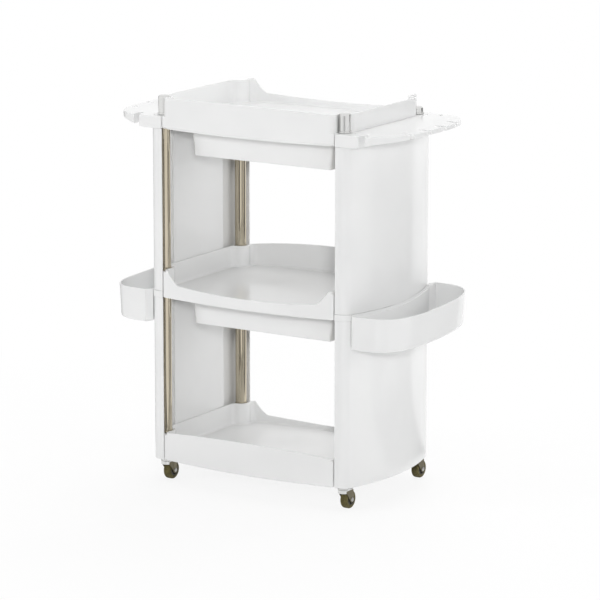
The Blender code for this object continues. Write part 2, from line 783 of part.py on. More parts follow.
def make_axle(name, swivel):
    """A headed axle through the fork's cheeks."""
    cheek = WHEEL_WIDTH / 2 + FORK_PLAY + FORK_SHEET + GAP
    end = cheek + AXLE_HEAD_HEIGHT
    profile = [
        (0.0, end),
        (AXLE_HEAD, end),
        (AXLE_HEAD, cheek),
        (AXLE_RADIUS, cheek),
        (AXLE_RADIUS, -cheek),
        (AXLE_HEAD, -cheek),
        (AXLE_HEAD, -end),
        (0.0, -end),
    ]
    axle = crossways(turned(name, profile, SMALL_STEPS))
    axle.parent = swivel
    return finish(axle, STEEL)


def make_hub(name, wheel):
    """The wheel's plastic centre, bored for the axle."""
    half = WHEEL_WIDTH / 2
    bore = AXLE_RADIUS + GAP
    profile = [(HUB_RADIUS, half), (HUB_RADIUS, -half), (bore, -half), (bore, half)]
    hub = turned(name, profile, ROUND_STEPS, closed=True)
    hub.rotation_euler.x = math.pi / 2
    hub.parent = wheel
    return finish(hub, HUB_PLASTIC)


def make_tyre(name, wheel):
    """The wheel's rubber tread, with rounded shoulders."""
    half = WHEEL_WIDTH / 2
    bore = HUB_RADIUS + GAP
    shoulder = (WHEEL_RADIUS - bore) / 2
    profile = [(WHEEL_RADIUS - shoulder, half)]
    profile += [
        (WHEEL_RADIUS, half - shoulder),
        (WHEEL_RADIUS, shoulder - half),
        (WHEEL_RADIUS - shoulder, -half),
        (bore, -half),
        (bore, half),
    ]
    tyre = turned(name, profile, ROUND_STEPS, closed=True)
    tyre.rotation_euler.x = math.pi / 2
    tyre.parent = wheel
    return finish(tyre, RUBBER)


def make_caster(corner, place):
    """A swivel caster: stem, fork, axle and wheel, trailing at its rest angle."""
    make_stem("caster_stem_" + corner, place)
    swivel = empty("swivel_" + corner, (place[0], place[1], 0.0))
    swivel.rotation_euler.z = math.radians(CASTER_YAW)
    wheel = empty("wheel_" + corner, (WHEEL_TRAIL, 0.0, WHEEL_RADIUS), swivel)
    make_fork("caster_fork_" + corner, swivel)
    make_axle("wheel_axle_" + corner, swivel)
    make_hub("wheel_hub_" + corner, wheel)
    make_tyre("wheel_tyre_" + corner, wheel)


make_tray("bottom_tray", BOTTOM_Z, TRAY_HEIGHT, EAR_HEIGHT, LOW_WALL, 1, BOTTOM_CREST)
make_tray("middle_tray", MIDDLE_Z, TRAY_HEIGHT, EAR_HEIGHT, LOW_WALL, -1, MIDDLE_CREST)
make_tray("top_tray", TOP_Z, TOP_TRAY_HEIGHT, TOP_EAR_HEIGHT, TOP_LOW_WALL, 1, TOP_CREST)

for corner, place in CORNERS.items():
    cap_height = FRONT_CAP_HEIGHT if corner.startswith("front") else REAR_CAP_HEIGHT
    make_post("lower_post_" + corner, BOTTOM_Z + EAR_HEIGHT + GAP, MIDDLE_Z - GAP, place)
    make_post("upper_post_" + corner, MIDDLE_Z + EAR_HEIGHT + GAP, TOP_Z - GAP, place)
    make_rod("tie_rod_" + corner, place, cap_height)
    make_cap("post_cap_" + corner, place, cap_height)
    make_caster(corner, place)

for hand, side in SIDES.items():
    make_panel("lower_side_panel_" + hand, side, BOTTOM_Z, MIDDLE_Z - GAP)
    make_panel("upper_side_panel_" + hand, side, MIDDLE_Z + BAND_HEIGHT + GAP, TOP_Z - GAP)
    make_bin("side_bin_" + hand, side)
    make_rest("tool_rest_" + hand, side)
    make_rail("lower_drawer_rail_" + hand, MIDDLE_Z, side)
    make_rail("upper_drawer_rail_" + hand, TOP_Z, side)

make_drawer("lower_drawer", MIDDLE_Z)
make_drawer("upper_drawer", TOP_Z)

bpy.context.view_layer.update()
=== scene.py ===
"""Looks of a rolling salon trolley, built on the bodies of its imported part.

White moulded trays, panels, bins, tool rests and drawers, chrome posts and swivel casters, in a
pale studio. Metres, +Z up, front towards -Y.
"""

from __future__ import annotations

import json
import logging
import math
from collections.abc import Iterator, Sequence
from dataclasses import dataclass, field
from enum import Enum
from typing import NamedTuple

import bmesh
import bpy
from mathutils import Matrix, Vector

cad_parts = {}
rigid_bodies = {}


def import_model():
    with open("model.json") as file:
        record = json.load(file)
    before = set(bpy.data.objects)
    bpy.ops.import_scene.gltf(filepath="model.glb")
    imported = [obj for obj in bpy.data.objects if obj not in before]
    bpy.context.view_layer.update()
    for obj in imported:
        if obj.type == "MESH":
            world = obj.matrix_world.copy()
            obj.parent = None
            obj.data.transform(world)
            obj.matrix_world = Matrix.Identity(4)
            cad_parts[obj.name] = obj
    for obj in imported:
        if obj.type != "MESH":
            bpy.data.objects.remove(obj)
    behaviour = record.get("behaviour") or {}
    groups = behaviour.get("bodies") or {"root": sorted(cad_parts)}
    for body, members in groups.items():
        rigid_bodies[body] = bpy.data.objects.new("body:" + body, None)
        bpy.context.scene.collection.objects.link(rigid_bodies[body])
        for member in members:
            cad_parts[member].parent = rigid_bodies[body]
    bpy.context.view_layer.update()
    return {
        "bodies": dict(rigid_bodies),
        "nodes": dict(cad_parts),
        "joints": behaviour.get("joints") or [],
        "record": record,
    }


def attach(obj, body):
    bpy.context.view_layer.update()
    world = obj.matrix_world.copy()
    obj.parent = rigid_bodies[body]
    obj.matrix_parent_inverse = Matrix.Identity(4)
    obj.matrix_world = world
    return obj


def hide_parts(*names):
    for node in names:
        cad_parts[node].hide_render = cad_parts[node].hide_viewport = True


log = logging.getLogger("trolley")

Point = tuple[float, float]
Loop = list[Point]
Ring = list[bmesh.types.BMVert]
Colour = tuple[float, float, float]

FULL_TURN = 360.0
QUARTER = math.pi / 2
TINY = 1e-6
WELD = 2e-6
LEAST_MITRE = 0.35
MOST_ROUNDING = 0.45
SMOOTH_BELOW = math.radians(42.0)
WHITE = (1.0, 1.0, 1.0, 1.0)


class Named(Enum):
    """A choice whose name is part of a node's name."""

    @property
    def label(self) -> str:
        """The choice's part of a node's name."""
        return self.name.lower()


class Corner(Named):
    """The four posts and casters, as signs along X and Y."""

    FRONT_LEFT = (-1, -1)
    FRONT_RIGHT = (1, -1)
    REAR_LEFT = (-1, 1)
    REAR_RIGHT = (1, 1)


class Side(Named):
    """The two sides of the trolley, as a sign along X."""

    LEFT = -1
    RIGHT = 1


class Facing(Enum):
    """The long wall of a tray that is cut low, as a sign along Y."""

    FRONT = -1
    BACK = 1


def arc(centre: Point, radius: float, start: float, end: float, steps: int) -> Loop:
    """Points on an arc, from one angle in degrees to another, with a number of chords."""
    turns = [math.radians(start + (end - start) * i / steps) for i in range(steps + 1)]
    return [(centre[0] + radius * math.cos(t), centre[1] + radius * math.sin(t)) for t in turns]


def circle(centre: Point, radius: float, steps: int) -> Loop:
    """Points round a whole circle."""
    return arc(centre, radius, 0.0, FULL_TURN - FULL_TURN / steps, steps - 1)


def bearing(start: Point, end: Point) -> float:
    """The angle in degrees from one point to another."""
    return math.degrees(math.atan2(end[1] - start[1], end[0] - start[0]))


def mirrored(loop: Loop, x: int = 1, y: int = 1) -> Loop:
    """A loop mirrored by a sign on each axis and kept in its sense of turn."""
    turned = [(x * a, y * b) for a, b in loop]
    return turned if x * y > 0 else turned[::-1]


def rim_steps(radius: float, steps: int = 3) -> list[Point]:
    """Insets and heights up a quarter round, from its flat face to its side."""
    turns = [QUARTER * i / steps for i in range(steps + 1)]
    return [(radius * (1 - math.sin(t)), radius * (1 - math.cos(t))) for t in turns]


def eased(share: float) -> float:
    """A share held between 0 and 1 and eased at both ends."""
    held = min(1.0, max(0.0, share))
    return held * held * (3 - 2 * held)


def nearest(loop: Loop, spot: Point) -> int:
    """The number of the point in a loop that lies nearest to a spot."""
    return min(range(len(loop)), key=lambda i: math.dist(loop[i], spot))


def crescent_edge(start: float, reach: float, half: float, rounding: float, count: int) -> Loop:
    """The full outer edge of a crescent, a half of a fat ellipse.

    Args:
        start: Where on X its ends lie.
        reach: Where on X its middle lies.
        half: Half its length along Y.
        rounding: Power of the ellipse.
        count: Number of points.

    Returns:
        The points from front to rear.
    """
    loop: Loop = []
    for i in range(count):
        turn = math.pi * (i / (count - 1) - 0.5)
        across, along = abs(math.cos(turn)), abs(math.sin(turn))
        x = start + (reach - start) * across ** (2 / rounding)
        loop.append((x, half * math.copysign(along ** (2 / rounding), turn)))
    return loop


def resampled(path: Loop, count: int) -> Loop:
    """Spreads points evenly along an open path.

    Args:
        path: The path's points.
        count: Number of points wanted, both ends among them.

    Returns:
        The new points.
    """
    runs = [math.dist(a, b) for a, b in zip(path, path[1:])]
    total = sum(runs)
    spread: Loop = []
    for i in range(count):
        left = total * i / (count - 1)
        k = 0
        while k < len(runs) - 1 and left > runs[k]:
            left -= runs[k]
            k += 1
        (ax, ay), (bx, by), share = path[k], path[k + 1], left / runs[k]
        spread.append((ax + (bx - ax) * share, ay + (by - ay) * share))
    return spread


def drawn_in(loop: Loop, distance: float) -> Loop:
    """Moves a closed counter-clockwise loop inwards.

    Args:
        loop: The loop's points.
        distance: How far in, or out where it is negative.

    Returns:
        As many points, each moved along the bisector of its corner.
    """
    moved: Loop = []
    for i, (x, y) in enumerate(loop):
        before, after = loop[i - 1], loop[(i + 1) % len(loop)]
        a = Vector((x - before[0], y - before[1])).normalized()
        b = Vector((after[0] - x, after[1] - y)).normalized()
        normal = Vector((-a.y - b.y, a.x + b.x))
        if normal.length < TINY:
            normal = Vector((-a.y, a.x))
        normal.normalize()
        reach = distance / max(LEAST_MITRE, normal.dot(Vector((-a.y, a.x))))
        moved.append((x + normal.x * reach, y + normal.y * reach))
    return moved


def softened(loop: Loop, radius: float, steps: int = 4, sharp: float = 32.0) -> Loop:
    """Rounds the sharp corners of a closed loop.

    Args:
        loop: The loop's points.
        radius: Radius of the rounded corners.
        steps: Chords in each of them.
        sharp: Least turn in degrees that counts as a corner.

    Returns:
        The loop with its corners rounded.
    """
    rounded: Loop = []
    for i, point in enumerate(loop):
        here = Vector(point)
        a = here - Vector(loop[i - 1])
        b = Vector(loop[(i + 1) % len(loop)]) - here
        turn = abs(a.angle_signed(b)) if min(a.length, b.length) > TINY else 0.0
        if math.degrees(turn) < sharp:
            rounded.append(point)
            continue
        most = MOST_ROUNDING * min(a.length, b.length)
        reach = min(radius * math.tan(turn / 2), most)
        start = here - a.normalized() * reach
        end = here + b.normalized() * reach
        for k in range(steps + 1):
            t = k / steps
            spot = start * (1 - t) ** 2 + here * 2 * t * (1 - t) + end * t**2
            rounded.append((spot.x, spot.y))
    return rounded


class Piece(NamedTuple):
    """A built shape, with its finish, its body and the node that it stands for."""

    shape: bpy.types.Object
    slot: str
    body: str
    node: str
    shade: str


class Shell:
    """Collects rings of points into one mesh."""

    def __init__(self, place: Matrix | None = None) -> None:
        """Starts an empty mesh, whose points are moved by a placing matrix."""
        self.mesh = bmesh.new()
        self.place = place or Matrix.Identity(4)

    def ring(self, loop: Loop, height: float | Sequence[float]) -> Ring:
        """Adds a ring of points.

        Args:
            loop: The ring in plan.
            height: One height for all of them, or one for each.

        Returns:
            The new vertices.
        """
        levels = [height] * len(loop) if isinstance(height, (int, float)) else height
        spots = [Vector((x, y, z)) for (x, y), z in zip(loop, levels)]
        return [self.mesh.verts.new(self.place @ spot) for spot in spots]

    def skin(self, rings: Sequence[Ring], closed: bool = False) -> None:
        """Joins rings of equal count with faces.

        Args:
            rings: The rings in order; one of a single point is a pole.
            closed: Whether the last ring is joined to the first.
        """
        ahead = [*rings[1:], rings[0]] if closed else rings[1:]
        for a, b in zip(rings, ahead):
            count = max(len(a), len(b))
            for i in range(count):
                j = (i + 1) % count
                if len(a) == 1:
                    self.mesh.faces.new((a[0], b[j], b[i]))
                elif len(b) == 1:
                    self.mesh.faces.new((a[i], a[j], b[0]))
                else:
                    self.mesh.faces.new((a[i], a[j], b[j], b[i]))

    def lid(self, ring: Ring) -> None:
        """Closes a ring with one face."""
        self.mesh.faces.new(ring)

    def ladder(self, ring: Ring) -> None:
        """Closes a crescent ring with rungs between its outer and inner runs."""
        for i in range(len(ring) // 2 - 1):
            self.mesh.faces.new((ring[i], ring[i + 1], ring[-2 - i], ring[-1 - i]))

    def holed_lid(self, rings: Sequence[Ring]) -> None:
        """Closes the flat space between an outer ring and the holes in it.

        Args:
            rings: The outer ring, then a ring for each hole.
        """
        edges = []
        for ring in rings:
            for ends in zip(ring, ring[1:] + ring[:1]):
                edges.append(self.mesh.edges.get(ends) or self.mesh.edges.new(ends))
        bmesh.ops.triangle_fill(self.mesh, edges=edges, use_beauty=True)

    def prism(
        self, outline: Loop, low: float, high: float, soft: float, holes: Sequence[Loop] = ()
    ) -> Shell:
        """A flat outline drawn up, with rounded rims.

        Args:
            outline: The outline, counter-clockwise.
            low: Height of its lower face.
            high: Height of its upper face.
            soft: Radius of the rims.
            holes: Outlines of holes, counter-clockwise too.

        Returns:
            The shell itself.
        """
        rows = [(inset, low + rise) for inset, rise in rim_steps(soft)]
        rows += [(inset, high - drop) for inset, drop in rim_steps(soft)[::-1]]
        stacks = []
        for loop, sign in [(outline, 1.0), *((hole, -1.0) for hole in holes)]:
            rings = [self.ring(drawn_in(loop, sign * inset), height) for inset, height in rows]
            self.skin(rings)
            stacks.append(rings)
        for end in (0, -1):
            if holes:
                self.holed_lid([rings[end] for rings in stacks])
            else:
                self.lid(stacks[0][end])
        return self

    def lathe(self, profile: Loop, steps: int, closed: bool = False) -> Shell:
        """Turns a profile about Z.

        Args:
            profile: Its (radius, height) points; a radius of nothing is a pole.
            steps: Number of sides.
            closed: Whether the profile is a ring in itself.

        Returns:
            The shell itself.
        """
        rings = []
        for radius, height in profile:
            loop = [(0.0, 0.0)] if radius < TINY else circle((0.0, 0.0), radius, steps)
            rings.append(self.ring(loop, height))
        self.skin(rings, closed)
        return self

    def made(self, name: str) -> bpy.types.Object:
        """Ends the mesh and links it as an object.

        Args:
            name: Name of the object.

        Returns:
            The object, shaded by the area of its faces.
        """
        bmesh.ops.remove_doubles(self.mesh, verts=self.mesh.verts, dist=WELD)
        bmesh.ops.recalc_face_normals(self.mesh, faces=self.mesh.faces)
        data = bpy.data.meshes.new(name)
        self.mesh.to_mesh(data)
        self.mesh.free()
        data.shade_smooth()
        data.set_sharp_from_angle(angle=SMOOTH_BELOW)
        shape = bpy.data.objects.new(name, data)
        bpy.context.scene.collection.objects.link(shape)
        shape.modifiers.new("weighted_normals", "WEIGHTED_NORMAL").keep_sharp = True
        return shape

    def piece(
        self, node: str, kind: str, slot: str, body: str = "frame", shade: str = ""
    ) -> Piece:
        """Ends the mesh as a piece that stands for a node and is named after it."""
        return Piece(self.made(f"{node}_{kind}"), slot, body, node, shade or slot)


class Value:
    """A shader socket that takes part in Python arithmetic."""

    def __init__(self, graph: Graph, socket: bpy.types.NodeSocket) -> None:
        """Wraps an output socket of a graph."""
        self.graph = graph
        self.socket = socket

    def _math(self, operation: str, first: Value | float, second: Value | float) -> Value:
        """Adds a Math node."""
        return self.graph.node("ShaderNodeMath", {"operation": operation}, {0: first, 1: second})

    def __add__(self, other: Value | float) -> Value:
        """The sum."""
        return self._math("ADD", self, other)

    def __radd__(self, other: float) -> Value:
        """The sum, reflected."""
        return self._math("ADD", other, self)

    def __sub__(self, other: Value | float) -> Value:
        """The difference."""
        return self._math("SUBTRACT", self, other)

    def __rsub__(self, other: float) -> Value:
        """The difference, reflected."""
        return self._math("SUBTRACT", other, self)

    def __mul__(self, other: Value | float) -> Value:
        """The product."""
        return self._math("MULTIPLY", self, other)

    def __rmul__(self, other: float) -> Value:
        """The product, reflected."""
        return self._math("MULTIPLY", other, self)


class Graph:
    """The node tree of a material or of the world."""

    def __init__(
        self, owner: bpy.types.Material | bpy.types.World, shader: str = "Principled BSDF"
    ) -> None:
        """Opens the nodes of a new owner.

        Args:
            owner: The material or world.
            shader: Name of the node that makes its looks.
        """
        owner.use_nodes = True
        self.tree = owner.node_tree
        self.shader = self.tree.nodes[shader]

    def plug(self, socket: bpy.types.NodeSocket, value: object) -> None:
        """Links a value to a socket, or sets the socket to a plain one.

        Args:
            socket: The input socket.
            value: What it takes.
        """
        if isinstance(value, Value):
            self.tree.links.new(value.socket, socket)
        else:
            socket.default_value = value

    def node(
        self,
        kind: str,
        settings: dict[str, object] | None = None,
        inputs: dict[str | int, object] | None = None,
        output: str | int = 0,
    ) -> Value:
        """Adds a node.

        Args:
            kind: The node's type.
            settings: Its properties, set first; "stops" fills a ramp with (place, colour) pairs.
            inputs: Values or links of its sockets, by name or number.
            output: The socket that is handed back.

        Returns:
            The chosen output.
        """
        made = self.tree.nodes.new(kind)
        for key, setting in (settings or {}).items():
            if key != "stops":
                setattr(made, key, setting)
                continue
            for element, (spot, colour) in zip(made.color_ramp.elements, setting):
                element.position = spot
                element.color = (*colour, 1.0)
        for key, value in (inputs or {}).items():
            self.plug(made.inputs[key], value)
        return Value(self, made.outputs[output])

    def place(self) -> Value:
        """Coordinates of a point on the object, in metres."""
        return self.node("ShaderNodeTexCoord", output="Object")

    def noise(
        self, scale: float, detail: float = 2.0, rough: float = 0.5, stretch: Colour | None = None
    ) -> Value:
        """Adds smooth noise.

        Args:
            scale: How fine it is.
            detail: How many finer octaves it has.
            rough: How strong they are.
            stretch: Factors along the axes.

        Returns:
            A value from 0 to 1.
        """
        where = self.place()
        if stretch:
            factors = {0: where, 1: stretch}
            where = self.node("ShaderNodeVectorMath", {"operation": "MULTIPLY"}, factors)
        inputs = {"Vector": where, "Scale": scale, "Detail": detail, "Roughness": rough}
        return self.node("ShaderNodeTexNoise", {"noise_dimensions": "3D"}, inputs)

    def blend(self, shares: Point, first: Value, second: Value) -> Value:
        """The sum of two values by their shares."""
        return first * shares[0] + second * shares[1]

    def ramp(self, value: Value, first: tuple[float, Colour], last: tuple[float, Colour]) -> Value:
        """A colour ramp over a value, between two (place, colour) stops."""
        return self.node("ShaderNodeValToRGB", {"stops": (first, last)}, {"Fac": value})

    def spread(self, value: Value, low: float, high: float) -> Value:
        """A value from 0 to 1 laid over a range."""
        return low + value * (high - low)

    def bump(self, height: Value, depth: float) -> Value:
        """A bumped normal."""
        inputs = {"Strength": 1.0, "Distance": depth, "Height": height}
        return self.node("ShaderNodeBump", {}, inputs, "Normal")

    def seen(self) -> Value:
        """1 for a ray from the camera, a mirror or glass, and 0 for any other."""
        rays = ("Is Camera Ray", "Is Glossy Ray", "Is Transmission Ray")
        return sum(self.node("ShaderNodeLightPath", output=ray) for ray in rays)

    def feed(self, **inputs: object) -> None:
        """Sets or links the shader's sockets; an underscore in a name stands for a space."""
        for key, value in inputs.items():
            self.plug(self.shader.inputs[key.replace("_", " ")], value)


class Coat(NamedTuple):
    """What varies over a finish: its tone, its roughness and its height."""

    tone: Value
    rough: Value
    height: Value


@dataclass(frozen=True)
class Finish:
    """A procedural material, dark below the first stop of its tone and light above the last."""

    name: str
    light: Colour
    dark: Colour
    stops: Point
    rough: Point
    depth: float
    metallic: float = 0.0
    index: float = 1.5
    specular: float = 0.5

    def coat(self, graph: Graph) -> Coat:
        """What varies over the finish."""
        raise NotImplementedError

    def make(self) -> bpy.types.Material:
        """Builds the material.

        Returns:
            The new material.
        """
        material = bpy.data.materials.new(self.name)
        graph = Graph(material)
        coat = self.coat(graph)
        first, last = zip(self.stops, (self.dark, self.light))
        graph.feed(
            Base_Color=graph.ramp(coat.tone, first, last),
            Roughness=graph.spread(coat.rough, *self.rough),
            Normal=graph.bump(coat.height, self.depth),
            Metallic=self.metallic,
            IOR=self.index,
            Specular_IOR_Level=self.specular,
        )
        return material


@dataclass(frozen=True)
class MouldedPlastic(Finish):
    """White injection-moulded plastic: flow marks and shallow sinks under a spark-eroded grain."""

    name: str = "white_plastic"
    light: Colour = (0.880, 0.882, 0.880)
    dark: Colour = (0.850, 0.853, 0.852)
    stops: Point = (0.3, 0.7)
    rough: Point = (0.12, 0.19)
    rough_shares: Point = (0.6, 0.4)
    flow: float = 7.0
    sink: float = 34.0
    grain: float = 900.0
    relief_shares: Point = (0.5, 1.2)
    depth: float = 0.00004
    index: float = 1.49

    def coat(self, graph: Graph) -> Coat:
        """Lays flow marks under grain and sinks.

        Args:
            graph: The material's nodes.

        Returns:
            What varies over the finish.
        """
        flow, grain = graph.noise(self.flow), graph.noise(self.grain)
        relief = graph.blend(self.relief_shares, grain, graph.noise(self.sink, detail=1.0))
        return Coat(flow, graph.blend(self.rough_shares, grain, flow), relief)


@dataclass(frozen=True)
class ChromePlate(Finish):
    """Bright plate over drawn tube, with a warm cast and fine lengthwise draw lines."""

    name: str = "chrome"
    light: Colour = (0.68, 0.62, 0.50)
    dark: Colour = (0.50, 0.44, 0.33)
    stops: Point = (0.25, 0.72)
    rough: Point = (0.03, 0.08)
    tone_shares: Point = (0.15, 0.85)
    draw: Colour = (900.0, 900.0, 5.0)
    cloud: float = 22.0
    depth: float = 0.00001
    metallic: float = 1.0

    def coat(self, graph: Graph) -> Coat:
        """Draws lines along the tube over a faint cloud."""
        lines = graph.noise(1.0, stretch=self.draw)
        return Coat(graph.blend(self.tone_shares, graph.noise(self.cloud), lines), lines, lines)


@dataclass(frozen=True)
class ZincSteel(Finish):
    """Zinc-plated steel with a spangled dull shine."""

    name: str = "zinc_steel"
    light: Colour = (0.56, 0.55, 0.53)
    dark: Colour = (0.36, 0.355, 0.34)
    stops: Point = (0.1, 0.9)
    rough: Point = (0.28, 0.5)
    tone_shares: Point = (0.7, 0.3)
    spangle: float = 260.0
    fine: float = 700.0
    depth: float = 0.00002
    metallic: float = 1.0

    def coat(self, graph: Graph) -> Coat:
        """Spreads spangles of several greys.

        Args:
            graph: The material's nodes.

        Returns:
            What varies over the finish.
        """
        cells = {"Vector": graph.place(), "Scale": self.spangle}
        spangle = graph.node("ShaderNodeTexVoronoi", {}, cells, "Color")
        shade = graph.node("ShaderNodeSeparateColor", {}, {"Color": spangle}, "Red")
        fine = graph.noise(self.fine)
        return Coat(graph.blend(self.tone_shares, shade, fine), shade, fine)


@dataclass(frozen=True)
class TreadRubber(Finish):
    """Dark olive-brown tread, matt, dusted in clouds and open in its pores."""

    name: str = "tyre_rubber"
    light: Colour = (0.185, 0.158, 0.062)
    dark: Colour = (0.070, 0.058, 0.020)
    stops: Point = (0.35, 0.75)
    rough: Point = (0.5, 0.75)
    tone_shares: Point = (0.8, 0.2)
    cloud: float = 120.0
    pores: float = 1500.0
    depth: float = 0.00006
    specular: float = 0.3

    def coat(self, graph: Graph) -> Coat:
        """Lays dust over pores."""
        cloud, pores = graph.noise(self.cloud, detail=4.0, rough=0.6), graph.noise(self.pores)
        return Coat(graph.blend(self.tone_shares, cloud, pores), cloud, pores + cloud)


@dataclass(frozen=True)
class HubPlastic(Finish):
    """Dark moulded wheel centre, clouded over its grain."""

    name: str = "hub_plastic"
    light: Colour = (0.070, 0.064, 0.046)
    dark: Colour = (0.030, 0.027, 0.019)
    stops: Point = (0.3, 0.75)
    rough: Point = (0.3, 0.5)
    rough_shares: Point = (0.5, 0.5)
    cloud: float = 180.0
    grain: float = 1800.0
    depth: float = 0.00003

    def coat(self, graph: Graph) -> Coat:
        """Lays clouds over a grain."""
        cloud, grain = graph.noise(self.cloud, detail=3.0), graph.noise(self.grain)
        return Coat(cloud, graph.blend(self.rough_shares, grain, cloud), grain)


@dataclass
class Finishes:
    """The trolley's materials, by the record's slots and their shades, among them a lighter and a
    darker copy of the chrome that carry painted highlight and painted shade.
    """

    kinds: tuple[Finish, ...] = (
        MouldedPlastic(),
        ChromePlate(),
        # A lighter copy of the chrome: its brightness is a painted highlight.
        ChromePlate("chrome_bright", (0.80, 0.80, 0.79), (0.62, 0.62, 0.61), rough=(0.10, 0.20)),
        # A darker copy of the chrome: its darkness is painted shade.
        ChromePlate("chrome_shaded", (0.24, 0.215, 0.15), (0.09, 0.08, 0.05), rough=(0.22, 0.38)),
        ZincSteel(),
        TreadRubber(),
        HubPlastic(),
    )
    made: dict[str, bpy.types.Material] = field(default_factory=dict)

    def build(self) -> None:
        """Makes every finish."""
        for finish in self.kinds:
            self.made[finish.name] = finish.make()
            log.info("finish %s", finish.name)

    def dress(self, piece: Piece) -> None:
        """Gives a piece its finish, puts it on its body and hides the node that it stands for.

        Args:
            piece: The piece.
        """
        shape = piece.shape
        shape.data.materials.append(self.made[piece.shade])
        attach(shape, piece.body)
        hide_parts(piece.node)
        log.info("piece %s on %s: %d faces", shape.name, piece.body, len(shape.data.polygons))

    def dress_nodes(self, frame: dict[str, object]) -> None:
        """Gives the part's own rods and rails their finish.

        Args:
            frame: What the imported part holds.
        """
        for name, node in frame["nodes"].items():
            if name.startswith("tie_rod") or "_rail_" in name:
                for slot in node.material_slots:
                    slot.material = self.made["zinc_steel"]
                log.info("node %s kept", name)


@dataclass(frozen=True)
class Layout:
    """Sizes that the trolley's pieces share."""

    bottom: float = 0.052
    middle: float = 0.412
    top: float = 0.779
    post_x: float = 0.226
    post_y: float = 0.148
    tube: float = 0.0125
    ear: float = 0.0205
    corner: float = 0.0245
    panel_wall: float = 0.003
    clearance: float = 0.001
    return_x: float = 0.217
    inner_x: float = 0.238
    inner_y: float = 0.0965
    front_y: float = 0.1725
    panel_bow: float = 0.025
    tray_ear: float = 0.056
    top_ear: float = 0.027
    band: float = 0.014
    gap: float = 0.0003
    corner_steps: int = 12
    bow_steps: int = 48
    ear_steps: int = 20

    @property
    def rear_post(self) -> Point:
        """The rear right post's place in plan."""
        return (self.post_x, self.post_y)

    @property
    def bow_centre(self) -> float:
        """Where on X the centre of a side panel's bow lies."""
        reach = self.post_x + self.panel_bow
        return (reach**2 - self.post_x**2 - self.post_y**2) / (2 * self.panel_bow)

    @property
    def bow_radius(self) -> float:
        """Radius of a side panel's bow."""
        return self.post_x + self.panel_bow + self.corner - self.bow_centre

    def bow_x(self, y: float, offset: float = 0.0) -> float:
        """The outer face of a side panel at a depth, moved out by an offset."""
        return self.bow_centre + math.sqrt((self.bow_radius + offset) ** 2 - y**2)

    def post(self, corner: Corner) -> Point:
        """A post's place in plan."""
        return (corner.value[0] * self.post_x, corner.value[1] * self.post_y)

    def panel_face(self, offset: float) -> Loop:
        """A right-hand panel's outer face.

        Args:
            offset: How far it is moved in.

        Returns:
            The points from the front return to the rear one.
        """
        turn = bearing((self.bow_centre, 0.0), self.rear_post)
        rear = arc(self.rear_post, self.corner - offset, turn, 90.0, self.corner_steps)
        bow_radius = self.bow_radius - offset
        bow = arc((self.bow_centre, 0.0), bow_radius, -turn, turn, self.bow_steps)
        return mirrored(rear, y=-1) + bow[1:-1] + rear

    def tray_side_path(self) -> Loop:
        """The edge of a plate beside a tray.

        Returns:
            The points from its rear return round the ears to its front one.
        """
        ear = self.ear + self.clearance
        turn = math.degrees(math.acos((self.inner_x - self.post_x) / ear))
        rear = [(self.return_x, self.post_y + ear)]
        rear += arc(self.rear_post, ear, 90.0, -turn, self.ear_steps)
        return rear + mirrored(rear, y=-1)


@dataclass
class Assembly:
    """A sub-assembly of the trolley, placed by the shared sizes."""

    layout: Layout

    def build(self) -> Iterator[Piece]:
        """Builds the pieces."""
        raise NotImplementedError

    def dress(self, finishes: Finishes) -> None:
        """Builds the pieces and finishes each of them."""
        for piece in self.build():
            finishes.dress(piece)


